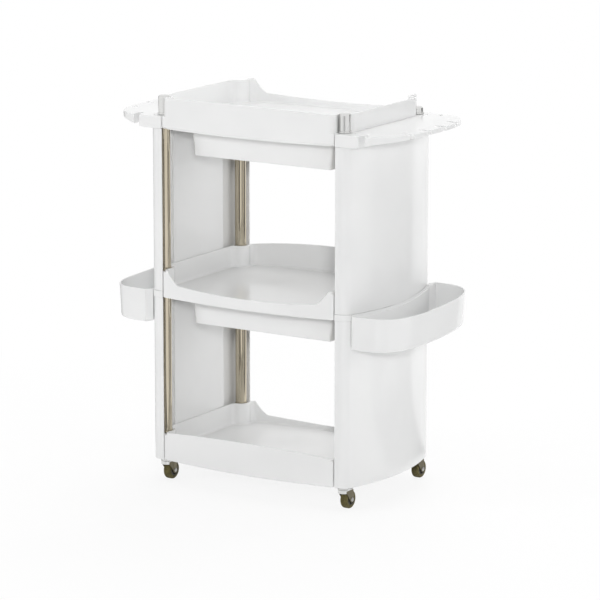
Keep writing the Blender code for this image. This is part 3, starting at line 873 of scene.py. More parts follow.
@dataclass
class Tray(Assembly):
    """A moulded tray with a filleted floor, rounded rims and an ear at each post."""

    name: str
    level: float
    ear_height: float
    low_side: Facing
    crest: float
    height: float = 0.0615
    low_wall: float = 0.0245
    lift: float = 0.0
    sag: float = 0.0065
    wall: float = 0.003
    boss_share: float = 2.1
    floor_rise: float = 0.014
    floor: float = 0.003
    bow: float = 0.0194
    fillet: float = 0.012
    fillet_steps: int = 12
    boss_steps: int = 16
    settling: int = 8
    floor_fillet: float = 0.006
    floor_steps: int = 4
    rim: float = 0.0013
    foot: float = 0.0008
    base_round: float = 0.0014
    base_slope: float = 2.2
    ramp: float = 0.033
    ramp_margin: float = 0.010
    ramp_power: float = 1.6
    edge_gap: float = 0.003
    close_from: float = 0.1895
    close_step: float = 0.0015
    close_run: int = 18
    open_run: int = 16
    side_run: int = 8
    rise_run: int = 4
    ear_run: int = 20
    step_run: int = 3
    lead_run: int = 5
    tail_run: int = 8

    @property
    def side_x(self) -> float:
        """The outer face of the tray's ends."""
        return self.layout.inner_x - self.layout.clearance

    @property
    def edge_x(self) -> float:
        """Half the length of the tray's bowed edges."""
        return self.layout.return_x - self.edge_gap

    def edge_y(self, x: float) -> float:
        """How far out a bowed edge lies."""
        return self.layout.front_y + self.bow * (1 - (x / self.edge_x) ** 2)

    def fillets(self, grow: float) -> tuple[Point, Point, float, float]:
        """The rounded corners of the tray's inside beside a post, grown outwards.

        Args:
            grow: How far the inside is grown.

        Returns:
            The centres of the two corners, their radius and the radius about the post.
        """
        post = self.layout.rear_post
        boss = self.layout.ear - grow * (self.boss_share if grow > 0 else 1.0)
        fillet = self.fillet + grow
        first_x = self.side_x - self.wall + grow - fillet
        first = (first_x, post[1] - math.sqrt((boss + fillet) ** 2 - (first_x - post[0]) ** 2))
        back_x, back_y = post[0] - boss - fillet, 0.0
        for _ in range(self.settling):
            back_y = self.edge_y(back_x) - self.wall + grow - fillet
            back_x = post[0] - math.sqrt((boss + fillet) ** 2 - (back_y - post[1]) ** 2)
        return first, (back_x, back_y), fillet, boss

    def runs(self, first: Point, second: Point) -> tuple[list[float], list[float]]:
        """Places along an end and along a bowed edge, clear of the corners between them.

        Args:
            first: Centre of the corner beside the end.
            second: Centre of the corner beside the bowed edge.

        Returns:
            Depths along the end and widths along the edge, close together where a low wall climbs.
        """
        ys = [first[1] * (i + 0.5) / self.side_run for i in range(self.side_run)]
        close = [self.close_from - self.close_step * i for i in range(self.close_run)]
        wide = [close[-1] * (1 - (i + 1) / (self.open_run + 0.5)) for i in range(self.open_run)]
        step = (close[0] - second[0]) / (self.tail_run + 1)
        tail = [second[0] + step * (i + 1) for i in range(self.tail_run)]
        return ys, tail + close + wide

    def outer(self, inset: float = 0.0) -> Loop:
        """A quarter of the tray's outer plan.

        Args:
            inset: How far it is drawn in.

        Returns:
            The points from the side round the ear to the back.
        """
        post = self.layout.rear_post
        ear = self.layout.ear - inset
        side_x, edge = self.side_x - inset, self.edge_x - inset
        start = -math.degrees(math.acos((side_x - post[0]) / ear))
        end = math.degrees(math.acos((edge - post[0]) / ear))
        round_ear = arc(post, ear, start, end, self.ear_run - 1)
        first, second, _, _ = self.fillets(self.wall)
        ys, xs = self.runs(first, second)
        low, high = round_ear[0][1], round_ear[-1][1]
        ys += [first[1] + (low - first[1]) * i / self.rise_run for i in range(self.rise_run)]
        step = (self.edge_y(edge) - inset - high) / (self.step_run + 1)
        steps = [(edge, high + step * (i + 1)) for i in range(self.step_run)]
        lead = [edge + (second[0] - edge) * i / (self.lead_run - 1) for i in range(self.lead_run)]
        bow = [(x, self.edge_y(x) - inset) for x in lead + xs]
        return [(side_x, y) for y in ys] + round_ear + steps + bow

    def basin(self, grow: float = 0.0) -> Loop:
        """A quarter of the tray's inside, with as many points as its outer plan.

        Args:
            grow: How far it is grown outwards.

        Returns:
            The points from the side round the post's boss to the back.
        """
        post = self.layout.rear_post
        first, second, fillet, boss = self.fillets(grow)
        path = arc(first, fillet, 0.0, bearing(first, post), self.fillet_steps)
        start, end = (bearing(post, centre) % FULL_TURN for centre in (first, second))
        path += arc(post, boss, start, end, self.boss_steps)[1:]
        path += arc(second, fillet, bearing(second, post), 90.0, self.fillet_steps)[1:]
        count = self.rise_run + self.ear_run + self.step_run + self.lead_run
        ys, xs = self.runs(first, second)
        back = [(x, self.edge_y(x) - self.wall + grow) for x in xs]
        return [(first[0] + fillet, y) for y in ys] + resampled(path, count) + back

    def around(self, quarter: Loop) -> Loop:
        """The whole plan from its quarter."""
        front = mirrored(quarter, -1, -1) + mirrored(quarter, y=-1)
        return quarter + mirrored(quarter, -1) + front

    def rim_height(self, x: float, y: float) -> float:
        """Height of the rim: low and sagging on one long side, crowned on the other.

        Args:
            x: Place across the tray.
            y: Place along its depth.

        Returns:
            The height above the tray's underside.
        """
        ramp_end = self.edge_x - self.ramp_margin
        ramp_start = ramp_end - self.ramp
        if abs(x) >= ramp_end or abs(y) < self.layout.post_y - self.layout.ear:
            return self.height
        if y * self.low_side.value < 0:
            return self.height + self.crest * (1 - (x / ramp_end) ** 2)
        if abs(x) <= ramp_start:
            return self.low_wall + self.sag * (x / ramp_start) ** 2
        foot = self.low_wall + self.sag
        share = (abs(x) - ramp_start) / self.ramp
        return foot + (self.height - foot) * share**self.ramp_power

    def rim_ring(self, shell: Shell, loop: Loop, drop: float, most: float = 1.0) -> Ring:
        """A ring some way below the rim and no higher than a given height above the underside."""
        heights = [min(most, self.rim_height(x, y)) - drop for x, y in loop]
        return shell.ring(loop, [self.level + height for height in heights])

    def build(self) -> Iterator[Piece]:
        """Lofts the tray from its underside round its ears and rim to its floor.

        Returns:
            The one piece.
        """
        shell = Shell()
        floor_top = self.level + self.floor_rise
        ear_top = self.ear_height + self.rim
        ear_from = self.side_run + self.rise_run - 1
        bow_from = ear_from + 1 + self.ear_run + self.step_run
        quarter = self.outer()
        outer = self.around(quarter)
        spots = [*range(len(quarter)), *reversed(range(len(quarter)))] * 2
        under = self.around(self.basin())
        rings = [shell.ring(under, floor_top - self.floor), shell.ring(under, self.level)]
        shell.lid(rings[0])
        for inset, rise in rim_steps(self.base_round):
            low = self.level + self.base_slope * rise
            levels = [low + self.lift * (i >= bow_from) for i in spots]
            rings.append(shell.ring(self.around(self.outer(inset)), levels))
        for inset, drop in rim_steps(self.foot)[::-1]:
            drawn = self.around(self.outer(inset))
            loop = [a if ear_from <= i < bow_from else b for a, b, i in zip(drawn, outer, spots)]
            rings.append(self.rim_ring(shell, loop, drop + self.rim, ear_top))
        walled = self.around(self.basin(self.wall))
        rings.append(self.rim_ring(shell, walled, self.rim, ear_top))
        rows = [(self.wall - inset, drop) for inset, drop in rim_steps(self.rim)[::-1]]
        for grow, drop in rows + rim_steps(self.rim):
            rings.append(self.rim_ring(shell, self.around(self.basin(grow)), drop))
        for inset, rise in rim_steps(self.floor_fillet, self.floor_steps)[::-1]:
            rings.append(shell.ring(self.around(self.basin(-inset)), floor_top + rise))
        shell.skin(rings)
        shell.lid(rings[-1])
        yield shell.piece(self.name, "moulding", "white_plastic")


@dataclass
class SidePanel(Assembly):
    """A hollow bowed panel, rolled round the posts at its ends."""

    side: Side
    level: str
    low: float
    high: float
    soft: float = 0.0009
    edge: float = 0.0012
    recess: float = 0.006
    bend_steps: int = 16
    hollow_steps: int = 24

    def outline(self) -> Loop:
        """The right-hand panel's section.

        Returns:
            Its points, counter-clockwise.
        """
        lay = self.layout
        post = lay.rear_post
        step = (lay.inner_x + self.recess, lay.inner_y)
        bend = lay.corner - lay.panel_wall
        tangent = bearing(post, step) + math.degrees(math.acos(bend / math.dist(post, step)))
        rear = [(lay.return_x, lay.front_y), (lay.return_x, lay.front_y - lay.panel_wall)]
        rear += arc(post, bend, 90.0, tangent, self.bend_steps)
        rear += [step, (lay.inner_x, lay.inner_y)]
        return softened(lay.panel_face(0.0) + rear + mirrored(rear, y=-1), self.edge, steps=3)

    def hollow(self) -> Loop:
        """The hollow in the right-hand panel's section.

        Returns:
            Its points, counter-clockwise.
        """
        lay = self.layout
        half = lay.inner_y - lay.panel_wall
        inner = lay.inner_x + lay.panel_wall
        ys = [half * (2 * i / self.hollow_steps - 1) for i in range(self.hollow_steps + 1)]
        return [(inner, -half), *((lay.bow_x(y, -lay.panel_wall), y) for y in ys), (inner, half)]

    def build(self) -> Iterator[Piece]:
        """Draws the section up.

        Returns:
            The one piece.
        """
        sign = self.side.value
        outline, hollow = mirrored(self.outline(), sign), mirrored(self.hollow(), sign)
        shell = Shell().prism(outline, self.low, self.high, self.soft, [hollow])
        yield shell.piece(f"{self.level}_side_panel_{self.side.label}", "skin", "white_plastic")


@dataclass
class SideBin(Assembly):
    """A crescent bin on a plate that is held between the lower and upper panels."""

    side: Side
    depth: float = 0.058
    reach: float = 0.370
    shoulder: float = 0.035
    overhang: float = 0.002
    lap: float = 0.0015
    rounding: float = 3.5
    wall: float = 0.0028
    stand_off: float = 0.0007
    end_gap: float = 0.0016
    end_power: int = 4
    end_setback: float = 0.0125
    ledge: float = 0.006
    taper: float = 0.005
    rise: float = 0.012
    rise_from: float = 0.4
    rise_power: float = 1.5
    rim: float = 0.0012
    foot: float = 0.005
    foot_share: float = 0.9
    plate_corner: float = 0.001
    plate_soft: float = 0.0005
    plate_gaps: Point = (0.0001, 0.0002)
    runs: int = 49

    def crescent(self, inset: float, taper: float) -> Loop:
        """The right-hand bin's plan.

        Args:
            inset: How far it is drawn in.
            taper: How far its outer run is moved back.

        Returns:
            Its outer run from front to rear, then its inner run back.
        """
        lay = self.layout
        half = lay.front_y + self.overhang - inset
        reach = self.reach - taper - inset
        loop = crescent_edge(lay.post_x + self.shoulder, reach, half, self.rounding, self.runs)
        half = lay.front_y - self.end_setback - inset
        for i in range(self.runs):
            share = 1 - 2 * i / (self.runs - 1)
            offset = self.stand_off + self.end_gap * share**self.end_power + inset
            loop.append((lay.bow_x(half * share, offset), half * share))
        return loop

    def sweep(self, y: float) -> float:
        """How far the bin has swept up at a depth."""
        share = max(0.0, y / self.layout.front_y + self.rise_from) / (1 + self.rise_from)
        return self.rise * share**self.rise_power

    def ring(self, shell: Shell, inset: float, taper: float, height: float, ledge: float) -> Ring:
        """One ring of the bin's skin.

        Args:
            shell: The mesh that takes the ring.
            inset: How far it is drawn in.
            taper: How far its outer run is moved back.
            height: Its height at the front.
            ledge: How far its inner run lies below that.

        Returns:
            The new vertices.
        """
        loop = self.crescent(inset, taper)
        levels = [height + self.sweep(y) for _, y in loop[: self.runs]]
        levels += [height + self.sweep(y) - ledge for _, y in loop[self.runs :]]
        return shell.ring([(self.side.value * x, y) for x, y in loop], levels)

    def plate(self) -> Loop:
        """The right-hand plate between the panels.

        Returns:
            Its points, counter-clockwise.
        """
        lay = self.layout
        rear = (lay.return_x, lay.front_y + self.lap)
        face = [(rear[0], -rear[1]), *lay.panel_face(-self.lap), rear]
        return softened(face + lay.tray_side_path(), self.plate_corner, steps=3)

    def build(self) -> Iterator[Piece]:
        """Lofts the bin from its underside over its rim to its floor, and adds the plate.

        Returns:
            The one piece.
        """
        shell = Shell()
        low = self.layout.middle - self.depth
        rim = self.layout.middle + self.layout.band
        floor = low + self.wall
        foot = [(inset * self.foot_share, rise) for inset, rise in rim_steps(self.foot, steps=4)]
        edge = rim_steps(self.rim)
        rows = [(inset, self.taper, low + rise, 0.0) for inset, rise in foot]
        rows += [(inset, 0.0, rim - drop, 0.0) for inset, drop in edge[::-1]]
        rows += [(self.wall - inset, 0.0, rim - drop, self.ledge) for inset, drop in edge]
        rows += [(self.wall + inset, self.taper, floor + rise, 0.0) for inset, rise in foot[::-1]]
        rings = [self.ring(shell, *row) for row in rows]
        shell.skin(rings)
        shell.ladder(rings[0])
        shell.ladder(rings[-1])
        plate = mirrored(self.plate(), self.side.value)
        below, above = self.plate_gaps
        shell.prism(plate, self.layout.middle + below, rim - above, self.plate_soft)
        yield shell.piece(f"side_bin_{self.side.label}", "moulding", "white_plastic")


@dataclass
class ToolRest(Assembly):
    """A notched crescent plate with a turned-down skirt, over a side panel."""

    side: Side
    reach: float = 0.360
    shoulder: float = 0.030
    overhang: float = 0.002
    rounding: float = 3.0
    skirt: float = 0.019
    skirt_from: float = 0.03
    skirt_run: float = 0.065
    wall: float = 0.0013
    plate: float = 0.004
    tip_rise: float = 0.009
    mouth: float = 0.003
    mouth_clear: float = 1.6
    notches: int = 4
    notch_width: float = 0.013
    notch_depth: float = 0.024
    notch_pitch: float = 0.061
    notch_steps: int = 12
    end_notch_x: float = 0.281
    rim: float = 0.0014
    hem: float = 0.0008
    seat_gap: float = 0.0002
    edge_points: int = 161

    @property
    def start(self) -> float:
        """Where on X the round outer edge begins."""
        return self.layout.post_x + self.shoulder

    @property
    def half(self) -> float:
        """Half the rest's depth."""
        return self.layout.front_y + self.overhang

    def edge_x(self, y: float) -> float:
        """The outer edge at a depth."""
        share = 1 - (abs(y) / self.half) ** self.rounding
        return self.start + (self.reach - self.start) * share ** (1 / self.rounding)

    def edge_y(self, x: float) -> float:
        """How far forward and back the outer edge lies at a width."""
        share = 1 - ((x - self.start) / (self.reach - self.start)) ** self.rounding
        return self.half * share ** (1 / self.rounding)

    def slots(self) -> list[Loop]:
        """The U-shaped notches, one at each end and the rest along the edge.

        Returns:
            The points of each from mouth to mouth, in order from front to rear.
        """
        half, middle = self.notch_width / 2, self.end_notch_x
        deep = self.edge_y(middle) - self.notch_depth + half
        front = [(middle - half, -self.edge_y(middle - half))]
        front += arc((middle, -deep), half, 180.0, 0.0, self.notch_steps)
        front.append((middle + half, -self.edge_y(middle + half)))
        slots = [front]
        for i in range(self.notches):
            y = self.notch_pitch * (i - (self.notches - 1) / 2)
            centre = (self.edge_x(y) - self.notch_depth + half, y)
            slot = [(self.edge_x(y - half), y - half)]
            slot += arc(centre, half, 270.0, 90.0, self.notch_steps)
            slots.append([*slot, (self.edge_x(y + half), y + half)])
        return [*slots, mirrored(front, y=-1)]

    def notched_edge(self) -> Loop:
        """The outer edge with its notches let in.

        Returns:
            The points from front to rear.
        """
        slots = self.slots()
        clear = self.mouth_clear * self.mouth
        mouths = [end for slot in slots for end in (slot[0], slot[-1])]
        edge = crescent_edge(self.start, self.reach, self.half, self.rounding, self.edge_points)
        rest = [spot for spot in edge if all(math.dist(spot, end) > clear for end in mouths)]
        loop: Loop = []
        for slot in slots:
            width = math.dist(slot[0], slot[-1])
            first, last = nearest(rest, slot[0]), nearest(rest, slot[-1])
            first += math.dist(rest[first], slot[-1]) > width
            last -= math.dist(rest[last], slot[0]) > width
            loop += rest[:first] + slot
            rest = rest[last + 1 :]
        return loop + rest

    def outline(self) -> Loop:
        """The right-hand rest's whole plan, its plate over the panel included.

        Returns:
            Its points, counter-clockwise.
        """
        lay = self.layout
        front = [(lay.return_x, -self.half), lay.panel_face(-self.overhang)[0]]
        loop = front + self.notched_edge() + mirrored(front, y=-1) + lay.tray_side_path()
        return softened(loop, self.mouth, sharp=40.0)

    def skirt_level(self, x: float) -> float:
        """Height of the skirt's lower edge.

        Args:
            x: Place across the trolley.

        Returns:
            The height, which climbs beside the panel and again to the rest's tip.
        """
        lay = self.layout
        out = abs(x)
        share = eased((out - lay.post_x - self.skirt_from) / self.skirt_run)
        root = lay.bow_x(0.0)
        tip = max(0.0, (out - root) / (self.reach - root))
        climb = (lay.top_ear - self.skirt) * share
        return lay.top + self.seat_gap + climb + self.tip_rise * tip

    def build(self) -> Iterator[Piece]:
        """Lofts the rest from the underside of its plate round its skirt to its top.

        Returns:
            The one piece.
        """
        loop = mirrored(self.outline(), self.side.value)
        top = self.layout.top + self.layout.top_ear
        low = [self.skirt_level(x) for x, _ in loop]
        shell = Shell()
        under = drawn_in(loop, self.wall)
        rings = [shell.ring(under, top - self.plate), shell.ring(under, low)]
        shell.lid(rings[0])
        for inset, rise in rim_steps(self.hem, steps=2):
            rings.append(shell.ring(drawn_in(loop, inset), [z + rise for z in low]))
        for inset, drop in rim_steps(self.rim)[::-1]:
            rings.append(shell.ring(drawn_in(loop, inset), top - drop))
        shell.skin(rings)
        shell.lid(rings[-1])
        yield shell.piece(f"tool_rest_{self.side.label}", "moulding", "white_plastic")


@dataclass
class Drawer(Assembly):
    """An open moulded drawer with a lip at each side."""

    name: str
    tray_level: float
    half_width: float = 0.1775
    narrowing: float = 0.006
    height: float = 0.058
    front: float = -0.115
    length: float = 0.222
    wall: float = 0.003
    drop: float = 0.004
    corner: float = 0.005
    least_corner: float = 0.0015
    lip: float = 0.0155
    lip_thickness: float = 0.003
    lip_setback: float = 0.006
    lip_corner: float = 0.003
    lip_soft: float = 0.0008
    lip_drop: float = 0.0002
    rim: float = 0.0012
    foot: float = 0.002

    def plan(self, inset: float, narrow: float) -> Loop:
        """The drawer's plan.

        Args:
            inset: How far it is drawn in.
            narrow: How far its sides are moved in besides.

        Returns:
            Its points, counter-clockwise.
        """
        half = self.half_width - inset - narrow
        front = self.front + inset
        rear = self.front + self.length - inset
        box = [(-half, front), (half, front), (half, rear), (-half, rear)]
        return softened(box, max(self.corner - inset, self.least_corner), steps=6)

    def build(self) -> Iterator[Piece]:
        """Lofts the drawer from its underside over its rim to its floor, and adds the lips.

        Returns:
            The one piece.
        """
        top = self.tray_level - self.drop
        low = top - self.height
        floor = low + self.wall
        shell = Shell()
        foot, edge = rim_steps(self.foot), rim_steps(self.rim)
        rows = [(inset, self.narrowing, low + rise) for inset, rise in foot]
        rows += [(inset, 0.0, top - drop) for inset, drop in edge[::-1]]
        rows += [(self.wall - inset, 0.0, top - drop) for inset, drop in edge]
        rows += [(self.wall + inset, self.narrowing, floor + rise) for inset, rise in foot[::-1]]
        rings = [shell.ring(self.plan(inset, narrow), height) for inset, narrow, height in rows]
        shell.skin(rings)
        shell.lid(rings[0])
        shell.lid(rings[-1])
        near, far = self.half_width - self.wall / 2, self.half_width + self.lip
        start, end = self.front + self.lip_setback, self.front + self.length
        lip = softened([(near, start), (far, start), (far, end), (near, end)], self.lip_corner)
        under, over = top - self.lip_thickness, top - self.lip_drop
        for side in Side:
            shell.prism(mirrored(lip, side.value), under, over, self.lip_soft)
        yield shell.piece(self.name, "moulding", "white_plastic", self.name + "_box")


@dataclass
class Post(Assembly):
    """A corner's two chrome tubes and its cap."""

    corner: Corner
    wall: float = 0.0012
    soft: float = 0.0004
    flange: float = 0.002
    flange_height: float = 0.004
    tall_cap: float = 0.042
    low_cap: float = 0.016
    dome_share: float = 0.42
    dome_steps: int = 9
    collar: float = 0.0015
    collar_height: float = 0.004
    collar_soft: float = 0.0006
    neck: float = 0.0005
    neck_rises: Point = (0.0008, 0.0004)
    sides: int = 64

    def tube_profile(self, low: float, high: float) -> Loop:
        """Half the section of a tube with a flanged foot.

        Args:
            low: Height of its foot.
            high: Height of its upper end.

        Returns:
            The closed profile.
        """
        outer, soft = self.layout.tube, self.soft
        inner, foot = outer - self.wall, outer + self.flange
        step = low + self.flange_height
        profile = [(inner, low), (foot - soft, low), (foot, low + soft), (foot, step - soft)]
        profile += [(foot - soft, step), (outer, step), (outer, high - soft)]
        return profile + [(outer - soft, high), (inner, high)]

    def cap_profile(self) -> Loop:
        """Half the section of the domed cap on its collar.

        Returns:
            The profile from the top down.
        """
        seat = self.layout.top + self.layout.top_ear
        top = seat + (self.tall_cap if self.corner.value[1] < 0 else self.low_cap)
        base = seat + self.layout.gap
        shelf = base + self.collar_height
        outer, soft = self.layout.tube, self.collar_soft
        dome, ring = outer * self.dome_share, outer + self.collar
        profile = [(0.0, top)]
        profile += arc((outer - dome, top - dome), dome, 90.0, 0.0, self.dome_steps)[1:]
        profile += [(outer, shelf + self.neck_rises[0])]
        profile += [(outer - self.neck, shelf + rise) for rise in (self.neck_rises[1], 0.0)]
        profile += [(ring - soft, shelf), (ring, shelf - soft), (ring, base + soft)]
        return profile + [(ring - soft, base), (0.0, base)]

    def turned(self, profile: Loop, closed: bool = False) -> Shell:
        """Turns a profile, which may be a ring in itself, about the post's axis."""
        place = Matrix.Translation((*self.layout.post(self.corner), 0.0))
        return Shell(place).lathe(profile, self.sides, closed)

    def build(self) -> Iterator[Piece]:
        """Turns the tubes and the cap.

        Returns:
            The three pieces.
        """
        lay = self.layout
        label = self.corner.label
        spans = (("lower", lay.bottom, lay.middle), ("upper", lay.middle, lay.top))
        for level, seat, high in spans:
            profile = self.tube_profile(seat + lay.tray_ear + lay.gap, high - lay.gap)
            yield self.turned(profile, True).piece(f"{level}_post_{label}", "tube", "chrome")
        cap = self.turned(self.cap_profile())
        # The cap takes the lighter chrome copy, so its brightness is a painted highlight.
        yield cap.piece("post_cap_" + label, "dome", "chrome", shade="chrome_bright")


@dataclass
class Caster(Assembly):
    """A swivel caster: stem with bearing disc, bent fork, axle, hub and tyre, trailing to the rear.

    The pairs and lists of small sizes hold (radius or cut, depth) points of turned profiles.
    """

    corner: Corner
    wheel: float = 0.020
    width: float = 0.0165
    hub: float = 0.0125
    dish: tuple[Point, ...] = (
        (0.0058, 0.0),
        (0.0062, 0.0004),
        (0.0064, 0.0030),
        (0.0103, 0.0030),
        (0.0107, 0.0004),
        (0.0111, 0.0),
    )
    ribs: int = 5
    rib_reach: Point = (0.0060, 0.0108)
    rib_half: float = 0.0007
    rib_depths: Point = (0.0034, 0.0006)
    rib_soft: float = 0.0003
    shoulder: float = 0.0038
    shoulder_steps: int = 6
    groove: tuple[Point, ...] = ((0.0, 0.0022), (0.0005, 0.0019), (0.0005, 0.0014), (0.0, 0.0011))
    axle: float = 0.003
    axle_head: float = 0.0045
    axle_dome: float = 0.0014
    axle_round: tuple[Point, ...] = ((0.0, 0.0), (0.6, 0.0), (0.9, 0.0004), (1.0, 0.0009))
    trail: float = 0.017
    sheet: float = 0.002
    sheet_soft: float = 0.0005
    plate: float = 0.003
    plate_soft: float = 0.0006
    play: float = 0.0006
    boss: float = 0.0065
    head: float = 0.0125
    nose_half: float = 60.0
    nose_steps: int = 14
    cheek_root: float = 0.72
    cheek_lap: float = 0.0012
    cheek_angles: Point = (207.0, 372.0)
    cheek_steps: int = 20
    cheek_over: float = 0.0005
    tail_setback: float = 0.002
    lip: float = 0.0045
    lip_lap: float = 0.0008
    lip_soft: float = 0.0003
    lip_share: float = 0.86
    disc: float = 0.0135
    disc_height: float = 0.007
    disc_bevel: Point = (0.001, 0.0008)
    race: tuple[Point, ...] = ((0.0, 0.0028), (0.0012, 0.0032), (0.0012, 0.0040), (0.0, 0.0044))
    stem: float = 0.004
    stem_length: float = 0.018
    kingpin: float = 0.0035
    rivet: float = 0.006
    rivet_dome: tuple[Point, ...] = ((0.0, 0.0), (0.0004, 0.0012), (0.0016, 0.0020))
    head_corner: float = 0.002
    cheek_corner: float = 0.003
    bore_steps: int = 24
    stem_sides: int = 48
    axle_sides: int = 32
    hub_sides: int = 48
    tyre_sides: int = 64

    @property
    def turn(self) -> Matrix:
        """Places a caster drawn about its kingpin, trailing along +X, under its post."""
        place = Matrix.Translation((*self.layout.post(self.corner), 0.0))
        return place @ Matrix.Rotation(QUARTER, 4, "Z")

    @property
    def hub_turn(self) -> Matrix:
        """Places a piece turned about Z on the axle."""
        axle = Matrix.Translation((self.trail, 0.0, self.wheel))
        return self.turn @ axle @ Matrix.Rotation(QUARTER, 4, "X")

    @property
    def plate_top(self) -> float:
        """Upper face of the fork's plate."""
        return self.layout.bottom - 2 * self.layout.gap - self.disc_height

    @property
    def plate_low(self) -> float:
        """Lower face of the fork's plate."""
        return self.plate_top - self.plate

    @property
    def inside(self) -> float:
        """Half the space between the fork's cheeks."""
        return self.width / 2 + self.play

    @property
    def outside(self) -> float:
        """Half the width of the fork."""
        return self.inside + self.sheet

    @property
    def tail(self) -> float:
        """Where the fork's plate ends behind the wheel."""
        return self.trail + self.boss - self.tail_setback

    def turned_stem(self) -> Shell:
        """The stem, its bearing disc and the riveted kingpin.

        Returns:
            The mesh.
        """
        lay = self.layout
        seat, end = lay.bottom - lay.gap, lay.bottom + self.stem_length
        low = seat - self.disc_height
        rivet = self.plate_low - lay.gap
        cut, drop = self.disc_bevel
        profile = [(0.0, end), (self.stem, end), (self.stem, seat)]
        profile += [(self.disc - cut, seat), (self.disc, seat - drop)]
        profile += [(self.disc - inset, seat - depth) for inset, depth in self.race]
        profile += [(self.disc, low + drop), (self.disc - cut, low)]
        profile += [(self.kingpin, low), (self.kingpin, rivet)]
        profile += [(self.rivet - inset, rivet - depth) for inset, depth in self.rivet_dome]
        profile.append((0.0, profile[-1][1]))
        return Shell(self.turn).lathe(profile, self.stem_sides)

    def fork_head(self) -> Shell:
        """The fork's round-nosed plate, with a lip turned down round its nose.

        Returns:
            The mesh.
        """
        low = self.plate_low
        shell = Shell(self.turn)
        start, end = 180.0 - self.nose_half, 180.0 + self.nose_half
        nose = arc((0.0, 0.0), self.head, start, end, self.nose_steps)
        nose = [(x, max(-self.outside, min(self.outside, y))) for x, y in nose]
        lip = nose + [(x * self.lip_share, y * self.lip_share) for x, y in nose[::-1]]
        plan = nose + [(self.tail, -self.outside), (self.tail, self.outside)]
        hole = circle((0.0, 0.0), self.kingpin + self.layout.gap, self.bore_steps)
        plan = softened(plan, self.head_corner, sharp=45.0)
        shell.prism(plan, low, self.plate_top, self.plate_soft, [hole])
        return shell.prism(lip, low - self.lip, low + self.lip_lap, self.lip_soft)

    def fork_cheeks(self) -> Shell:
        """The fork's two cheeks, that narrow to the axle.

        Returns:
            The mesh.
        """
        high = self.plate_low + self.cheek_lap
        hub = (self.trail, self.wheel)
        cheek = [(-self.head * self.cheek_root, high)]
        cheek += arc(hub, self.boss, *self.cheek_angles, self.cheek_steps)
        cheek.append((self.tail + self.cheek_over, high))
        cheek = softened(cheek, self.cheek_corner, sharp=30.0)
        bore = circle(hub, self.axle + self.layout.gap, self.bore_steps)
        shell = Shell()
        for near in (-self.outside, self.inside):
            upright = Matrix.Translation((0.0, near, 0.0)) @ Matrix.Rotation(QUARTER, 4, "X")
            shell.place = self.turn @ upright @ Matrix.Translation((0.0, 0.0, -self.sheet))
            shell.prism(cheek, 0.0, self.sheet, self.sheet_soft, [bore])
        return shell

    def on_axle(self, half: Loop, steps: int, closed: bool = False) -> Shell:
        """Turns half a profile and its mirror image about the axle."""
        return Shell(self.hub_turn).lathe(half + mirrored(half, y=-1), steps, closed)

    def turned_axle(self) -> Shell:
        """The axle with a domed head at each end.

        Returns:
            The mesh.
        """
        cheek = self.outside + self.layout.gap
        end = cheek + self.axle_dome
        half = [(self.axle_head * share, end - drop) for share, drop in self.axle_round]
        return self.on_axle([*half, (self.axle_head, cheek), (self.axle, cheek)], self.axle_sides)

    def moulded_hub(self) -> Shell:
        """The wheel's centre: a dished disc with ribs.

        Returns:
            The mesh.
        """
        half = self.width / 2
        face = [(radius, half - depth) for radius, depth in self.dish]
        bore = self.axle + self.layout.gap
        shell = self.on_axle([(bore, half), *face, (self.hub, half)], self.hub_sides, True)
        (near, far), side = self.rib_reach, self.rib_half
        rib = [(near, -side), (far, -side), (far, side), (near, side)]
        low, high = (half - depth for depth in self.rib_depths)
        for i in range(self.ribs):
            shell.place = self.hub_turn @ Matrix.Rotation(math.tau * i / self.ribs, 4, "Z")
            for ends in ((low, high), (-high, -low)):
                shell.prism(rib, *ends, self.rib_soft)
        return shell

    def tread(self) -> Shell:
        """The tyre, with round shoulders and two fine grooves.

        Returns:
            The mesh.
        """
        half, flat = self.width / 2, self.wheel - self.shoulder
        side = [(self.hub + self.layout.gap, half), (flat, half)]
        centre = (flat, half - self.shoulder)
        side += arc(centre, self.shoulder, 90.0, 0.0, self.shoulder_steps)[1:]
        side += [(self.wheel - cut, out) for cut, out in self.groove]
        return self.on_axle(side, self.tyre_sides, True)

    def build(self) -> Iterator[Piece]:
        """Builds the stem, the fork's head and cheeks, the axle, the hub and the tyre.

        Returns:
            The six pieces.
        """
        label = self.corner.label
        stem, fork, wheel = "caster_stem_" + label, "caster_fork_" + label, "wheel_" + label
        swivel, axle = "swivel_" + label, "wheel_axle_" + label
        hub, tyre = "wheel_hub_" + label, "wheel_tyre_" + label
        # The stem and the fork's plate take the lighter chrome copy, a painted highlight; the
        # cheeks take the darker copy, painted shade.
        yield self.turned_stem().piece(stem, "turned", "chrome", shade="chrome_bright")
        yield self.fork_head().piece(fork, "head", "chrome", swivel, "chrome_bright")
        yield self.fork_cheeks().piece(fork, "cheeks", "chrome", swivel, "chrome_shaded")
        yield self.turned_axle().piece(axle, "turned", "zinc_steel", swivel)
        yield self.moulded_hub().piece(hub, "moulded", "hub_plastic", wheel)
        yield self.tread().piece(tyre, "tread", "tyre_rubber", wheel)


def heading(turn: float, tilt: float) -> Vector:
    """The direction of a turn from the front and a tilt up.

    Args:
        turn: The turn in degrees, to the right.
        tilt: The tilt in degrees.

    Returns:
        The direction, of length 1.
    """
    turn, tilt = math.radians(turn), math.radians(tilt)
    level = Vector((math.sin(turn), -math.cos(turn), 0.0)) * math.cos(tilt)
    return level + Vector((0.0, 0.0, math.sin(tilt)))


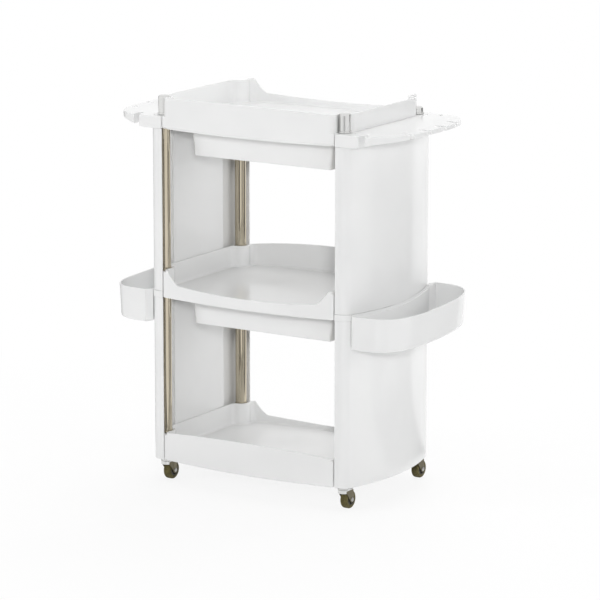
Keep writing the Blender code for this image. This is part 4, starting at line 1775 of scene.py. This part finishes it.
@dataclass(frozen=True)
class Lamp:
    """A soft square lamp, placed round the trolley by its turn from the front and its tilt."""

    name: str
    turn: float
    tilt: float
    distance: float
    size: float
    power: float

    def hang(self, aim: Vector) -> None:
        """Hangs the lamp so that it faces a point.

        Args:
            aim: The point.
        """
        away = heading(self.turn, self.tilt)
        light = bpy.data.lights.new(self.name, "AREA")
        light.size = self.size
        light.energy = self.power
        lamp = bpy.data.objects.new(self.name, light)
        lamp.location = aim + away * self.distance
        lamp.rotation_euler = (-away).to_track_quat("-Z", "Y").to_euler()
        lamp.visible_camera = False
        lamp.visible_glossy = False
        bpy.context.scene.collection.objects.link(lamp)


@dataclass(frozen=True)
class Flag:
    """A grey card on the floor and up round the set that only shows as a streak in what shines."""

    name: str
    start: float
    end: float
    grey: float
    low: float = 0.0
    high: float = 1.3
    near: float = 0.45
    reach: float = 1.2
    lift: float = 0.002
    steps: int = 8

    def stand(self) -> None:
        """Stands the card round the trolley, its angles counted from the front."""
        start, end = self.start - 90.0, self.end - 90.0
        outer, inner = (
            arc((0.0, 0.0), radius, start, end, self.steps) for radius in (self.reach, self.near)
        )
        shell = Shell()
        rows = [shell.ring(outer, max(self.low, self.lift)), shell.ring(outer, self.high)]
        if self.low == 0.0:
            rows.insert(0, shell.ring(inner, self.lift))
        for low, high in zip(rows, rows[1:]):
            for i in range(self.steps):
                shell.lid([low[i], low[i + 1], high[i + 1], high[i]])
        card = shell.made(self.name)
        material = bpy.data.materials.new(self.name)
        Graph(material).feed(Base_Color=(self.grey, self.grey, self.grey, 1.0), Roughness=1.0)
        card.data.materials.append(material)
        card.visible_camera = False
        card.visible_diffuse = False
        card.visible_transmission = False
        card.visible_shadow = False


@dataclass(frozen=True)
class Studio:
    """A pale floor, soft light and the camera at the photograph's angle."""

    turn: float = 32.40
    tilt: float = 12.31
    distance: float = 7.5
    focal: float = 3474.0
    frame: float = 600.0
    centre: Point = (290.9, 308.9)
    target: float = 0.3804
    sensor: float = 36.0
    far: float = 100.0
    ambient: float = 0.285
    aim: float = 0.45
    floor_half: float = 14.0
    floor_low: float = -0.0004
    floor_grey: float = 0.97
    floor_rough: float = 0.9
    fade: Point = (0.45, 1.4)
    fade_from: float = 0.86
    lamps: tuple[Lamp, ...] = (
        Lamp("key", 34.0, 16.0, 6.0, 0.5, 99.0),
        Lamp("left", -43.0, 16.0, 4.2, 1.0, 35.0),
        Lamp("right", 107.0, 16.0, 4.2, 1.8, 25.0),
        Lamp("back", 157.0, 14.0, 4.4, 2.6, 50.0),
        Lamp("high_back", 200.0, 45.0, 4.5, 2.2, 60.0),
        Lamp("overhead", 0.0, 88.0, 3.2, 2.6, 38.0),
    )
    flags: tuple[Flag, ...] = (
        Flag("flag_front", -18.0, 18.0, 0.25, 0.0, 0.575),
        Flag("flag_cap", 15.0, 41.0, 0.55, 0.575, 0.72),
        Flag("flag_back", 112.0, 150.0, 0.22),
        Flag("flag_left", -112.0, -92.0, 0.30),
    )

    def camera(self) -> None:
        """Sets the camera."""
        back = heading(self.turn, self.tilt)
        right = heading(self.turn + 90.0, 0.0)
        place = Matrix((right, back.cross(right), back)).transposed().to_4x4()
        place.translation = Vector((0.0, 0.0, self.target)) + self.distance * back
        lens = bpy.data.cameras.new("view")
        lens.sensor_width = self.sensor
        lens.lens = self.focal * self.sensor / self.frame
        lens.shift_x = 0.5 - self.centre[0] / self.frame
        lens.shift_y = self.centre[1] / self.frame - 0.5
        lens.clip_end = self.far
        eye = bpy.data.objects.new("view", lens)
        eye.matrix_world = place
        bpy.context.scene.collection.objects.link(eye)
        bpy.context.scene.camera = eye

    def floor(self) -> None:
        """Lays the pale floor, which fades to plain white away from the trolley."""
        shell = Shell()
        half, grey = self.floor_half, self.floor_grey
        corners = [(-half, -half), (half, -half), (half, half), (-half, half)]
        shell.lid(shell.ring(corners, self.floor_low))
        ground = shell.made("floor")
        material = bpy.data.materials.new("pale_floor")
        graph = Graph(material)
        graph.feed(Base_Color=(grey, grey, grey, 1.0), Roughness=self.floor_rough)
        glow = graph.node("ShaderNodeEmission", {}, {"Color": WHITE, "Strength": 1.0})
        matt = Value(graph, graph.shader.outputs[0])
        length = {"operation": "LENGTH"}
        away = graph.node("ShaderNodeVectorMath", length, {0: graph.place()}, "Value")
        fade = {"Value": away, "From Min": self.fade[0], "From Max": self.fade[1]}
        fade |= {"To Min": self.fade_from, "To Max": 1.0}
        share = graph.seen() * graph.node("ShaderNodeMapRange", {}, fade)
        mixed = graph.node("ShaderNodeMixShader", {}, {0: share, 1: matt, 2: glow})
        graph.plug(graph.tree.nodes["Material Output"].inputs["Surface"], mixed)
        ground.data.materials.append(material)

    def world(self) -> None:
        """Fills the room with even light and shows white behind the trolley."""
        world = bpy.data.worlds.new("studio")
        graph = Graph(world, "Background")
        graph.feed(Color=WHITE, Strength=graph.spread(graph.seen(), self.ambient, 1.0))
        bpy.context.scene.world = world

    def build(self) -> None:
        """Sets the whole studio."""
        bpy.context.scene.view_settings.view_transform = "Standard"
        self.camera()
        self.floor()
        self.world()
        for lamp in self.lamps:
            lamp.hang(Vector((0.0, 0.0, self.aim)))
        for flag in self.flags:
            flag.stand()


def assemblies(layout: Layout) -> Iterator[Assembly]:
    """The trolley's sub-assemblies.

    Args:
        layout: The sizes that they share.

    Returns:
        The trays and drawers, then what stands at each side and at each corner.
    """
    yield Tray(layout, "bottom_tray", layout.bottom, layout.tray_ear, Facing.BACK, crest=0.010)
    yield Tray(layout, "middle_tray", layout.middle, layout.tray_ear, Facing.FRONT, crest=0.011)
    yield Tray(
        layout, "top_tray", layout.top, layout.top_ear, Facing.BACK,
        crest=0.005, height=0.066, low_wall=0.028, lift=0.003,
    )
    yield Drawer(layout, "lower_drawer", layout.middle)
    yield Drawer(layout, "upper_drawer", layout.top)
    for side in Side:
        yield SidePanel(layout, side, "lower", layout.bottom, layout.middle - layout.gap)
        low = layout.middle + layout.band
        yield SidePanel(layout, side, "upper", low, layout.top - layout.gap)
        yield SideBin(layout, side)
        yield ToolRest(layout, side)
    for corner in Corner:
        yield Post(layout, corner)
        yield Caster(layout, corner)


def main() -> None:
    """Builds the trolley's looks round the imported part."""
    logging.basicConfig(level=logging.INFO, format="%(name)s: %(message)s")
    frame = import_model()
    finishes = Finishes()
    finishes.build()
    finishes.dress_nodes(frame)
    for assembly in assemblies(Layout()):
        assembly.dress(finishes)
    Studio().build()


if __name__ == "__main__":
    main()
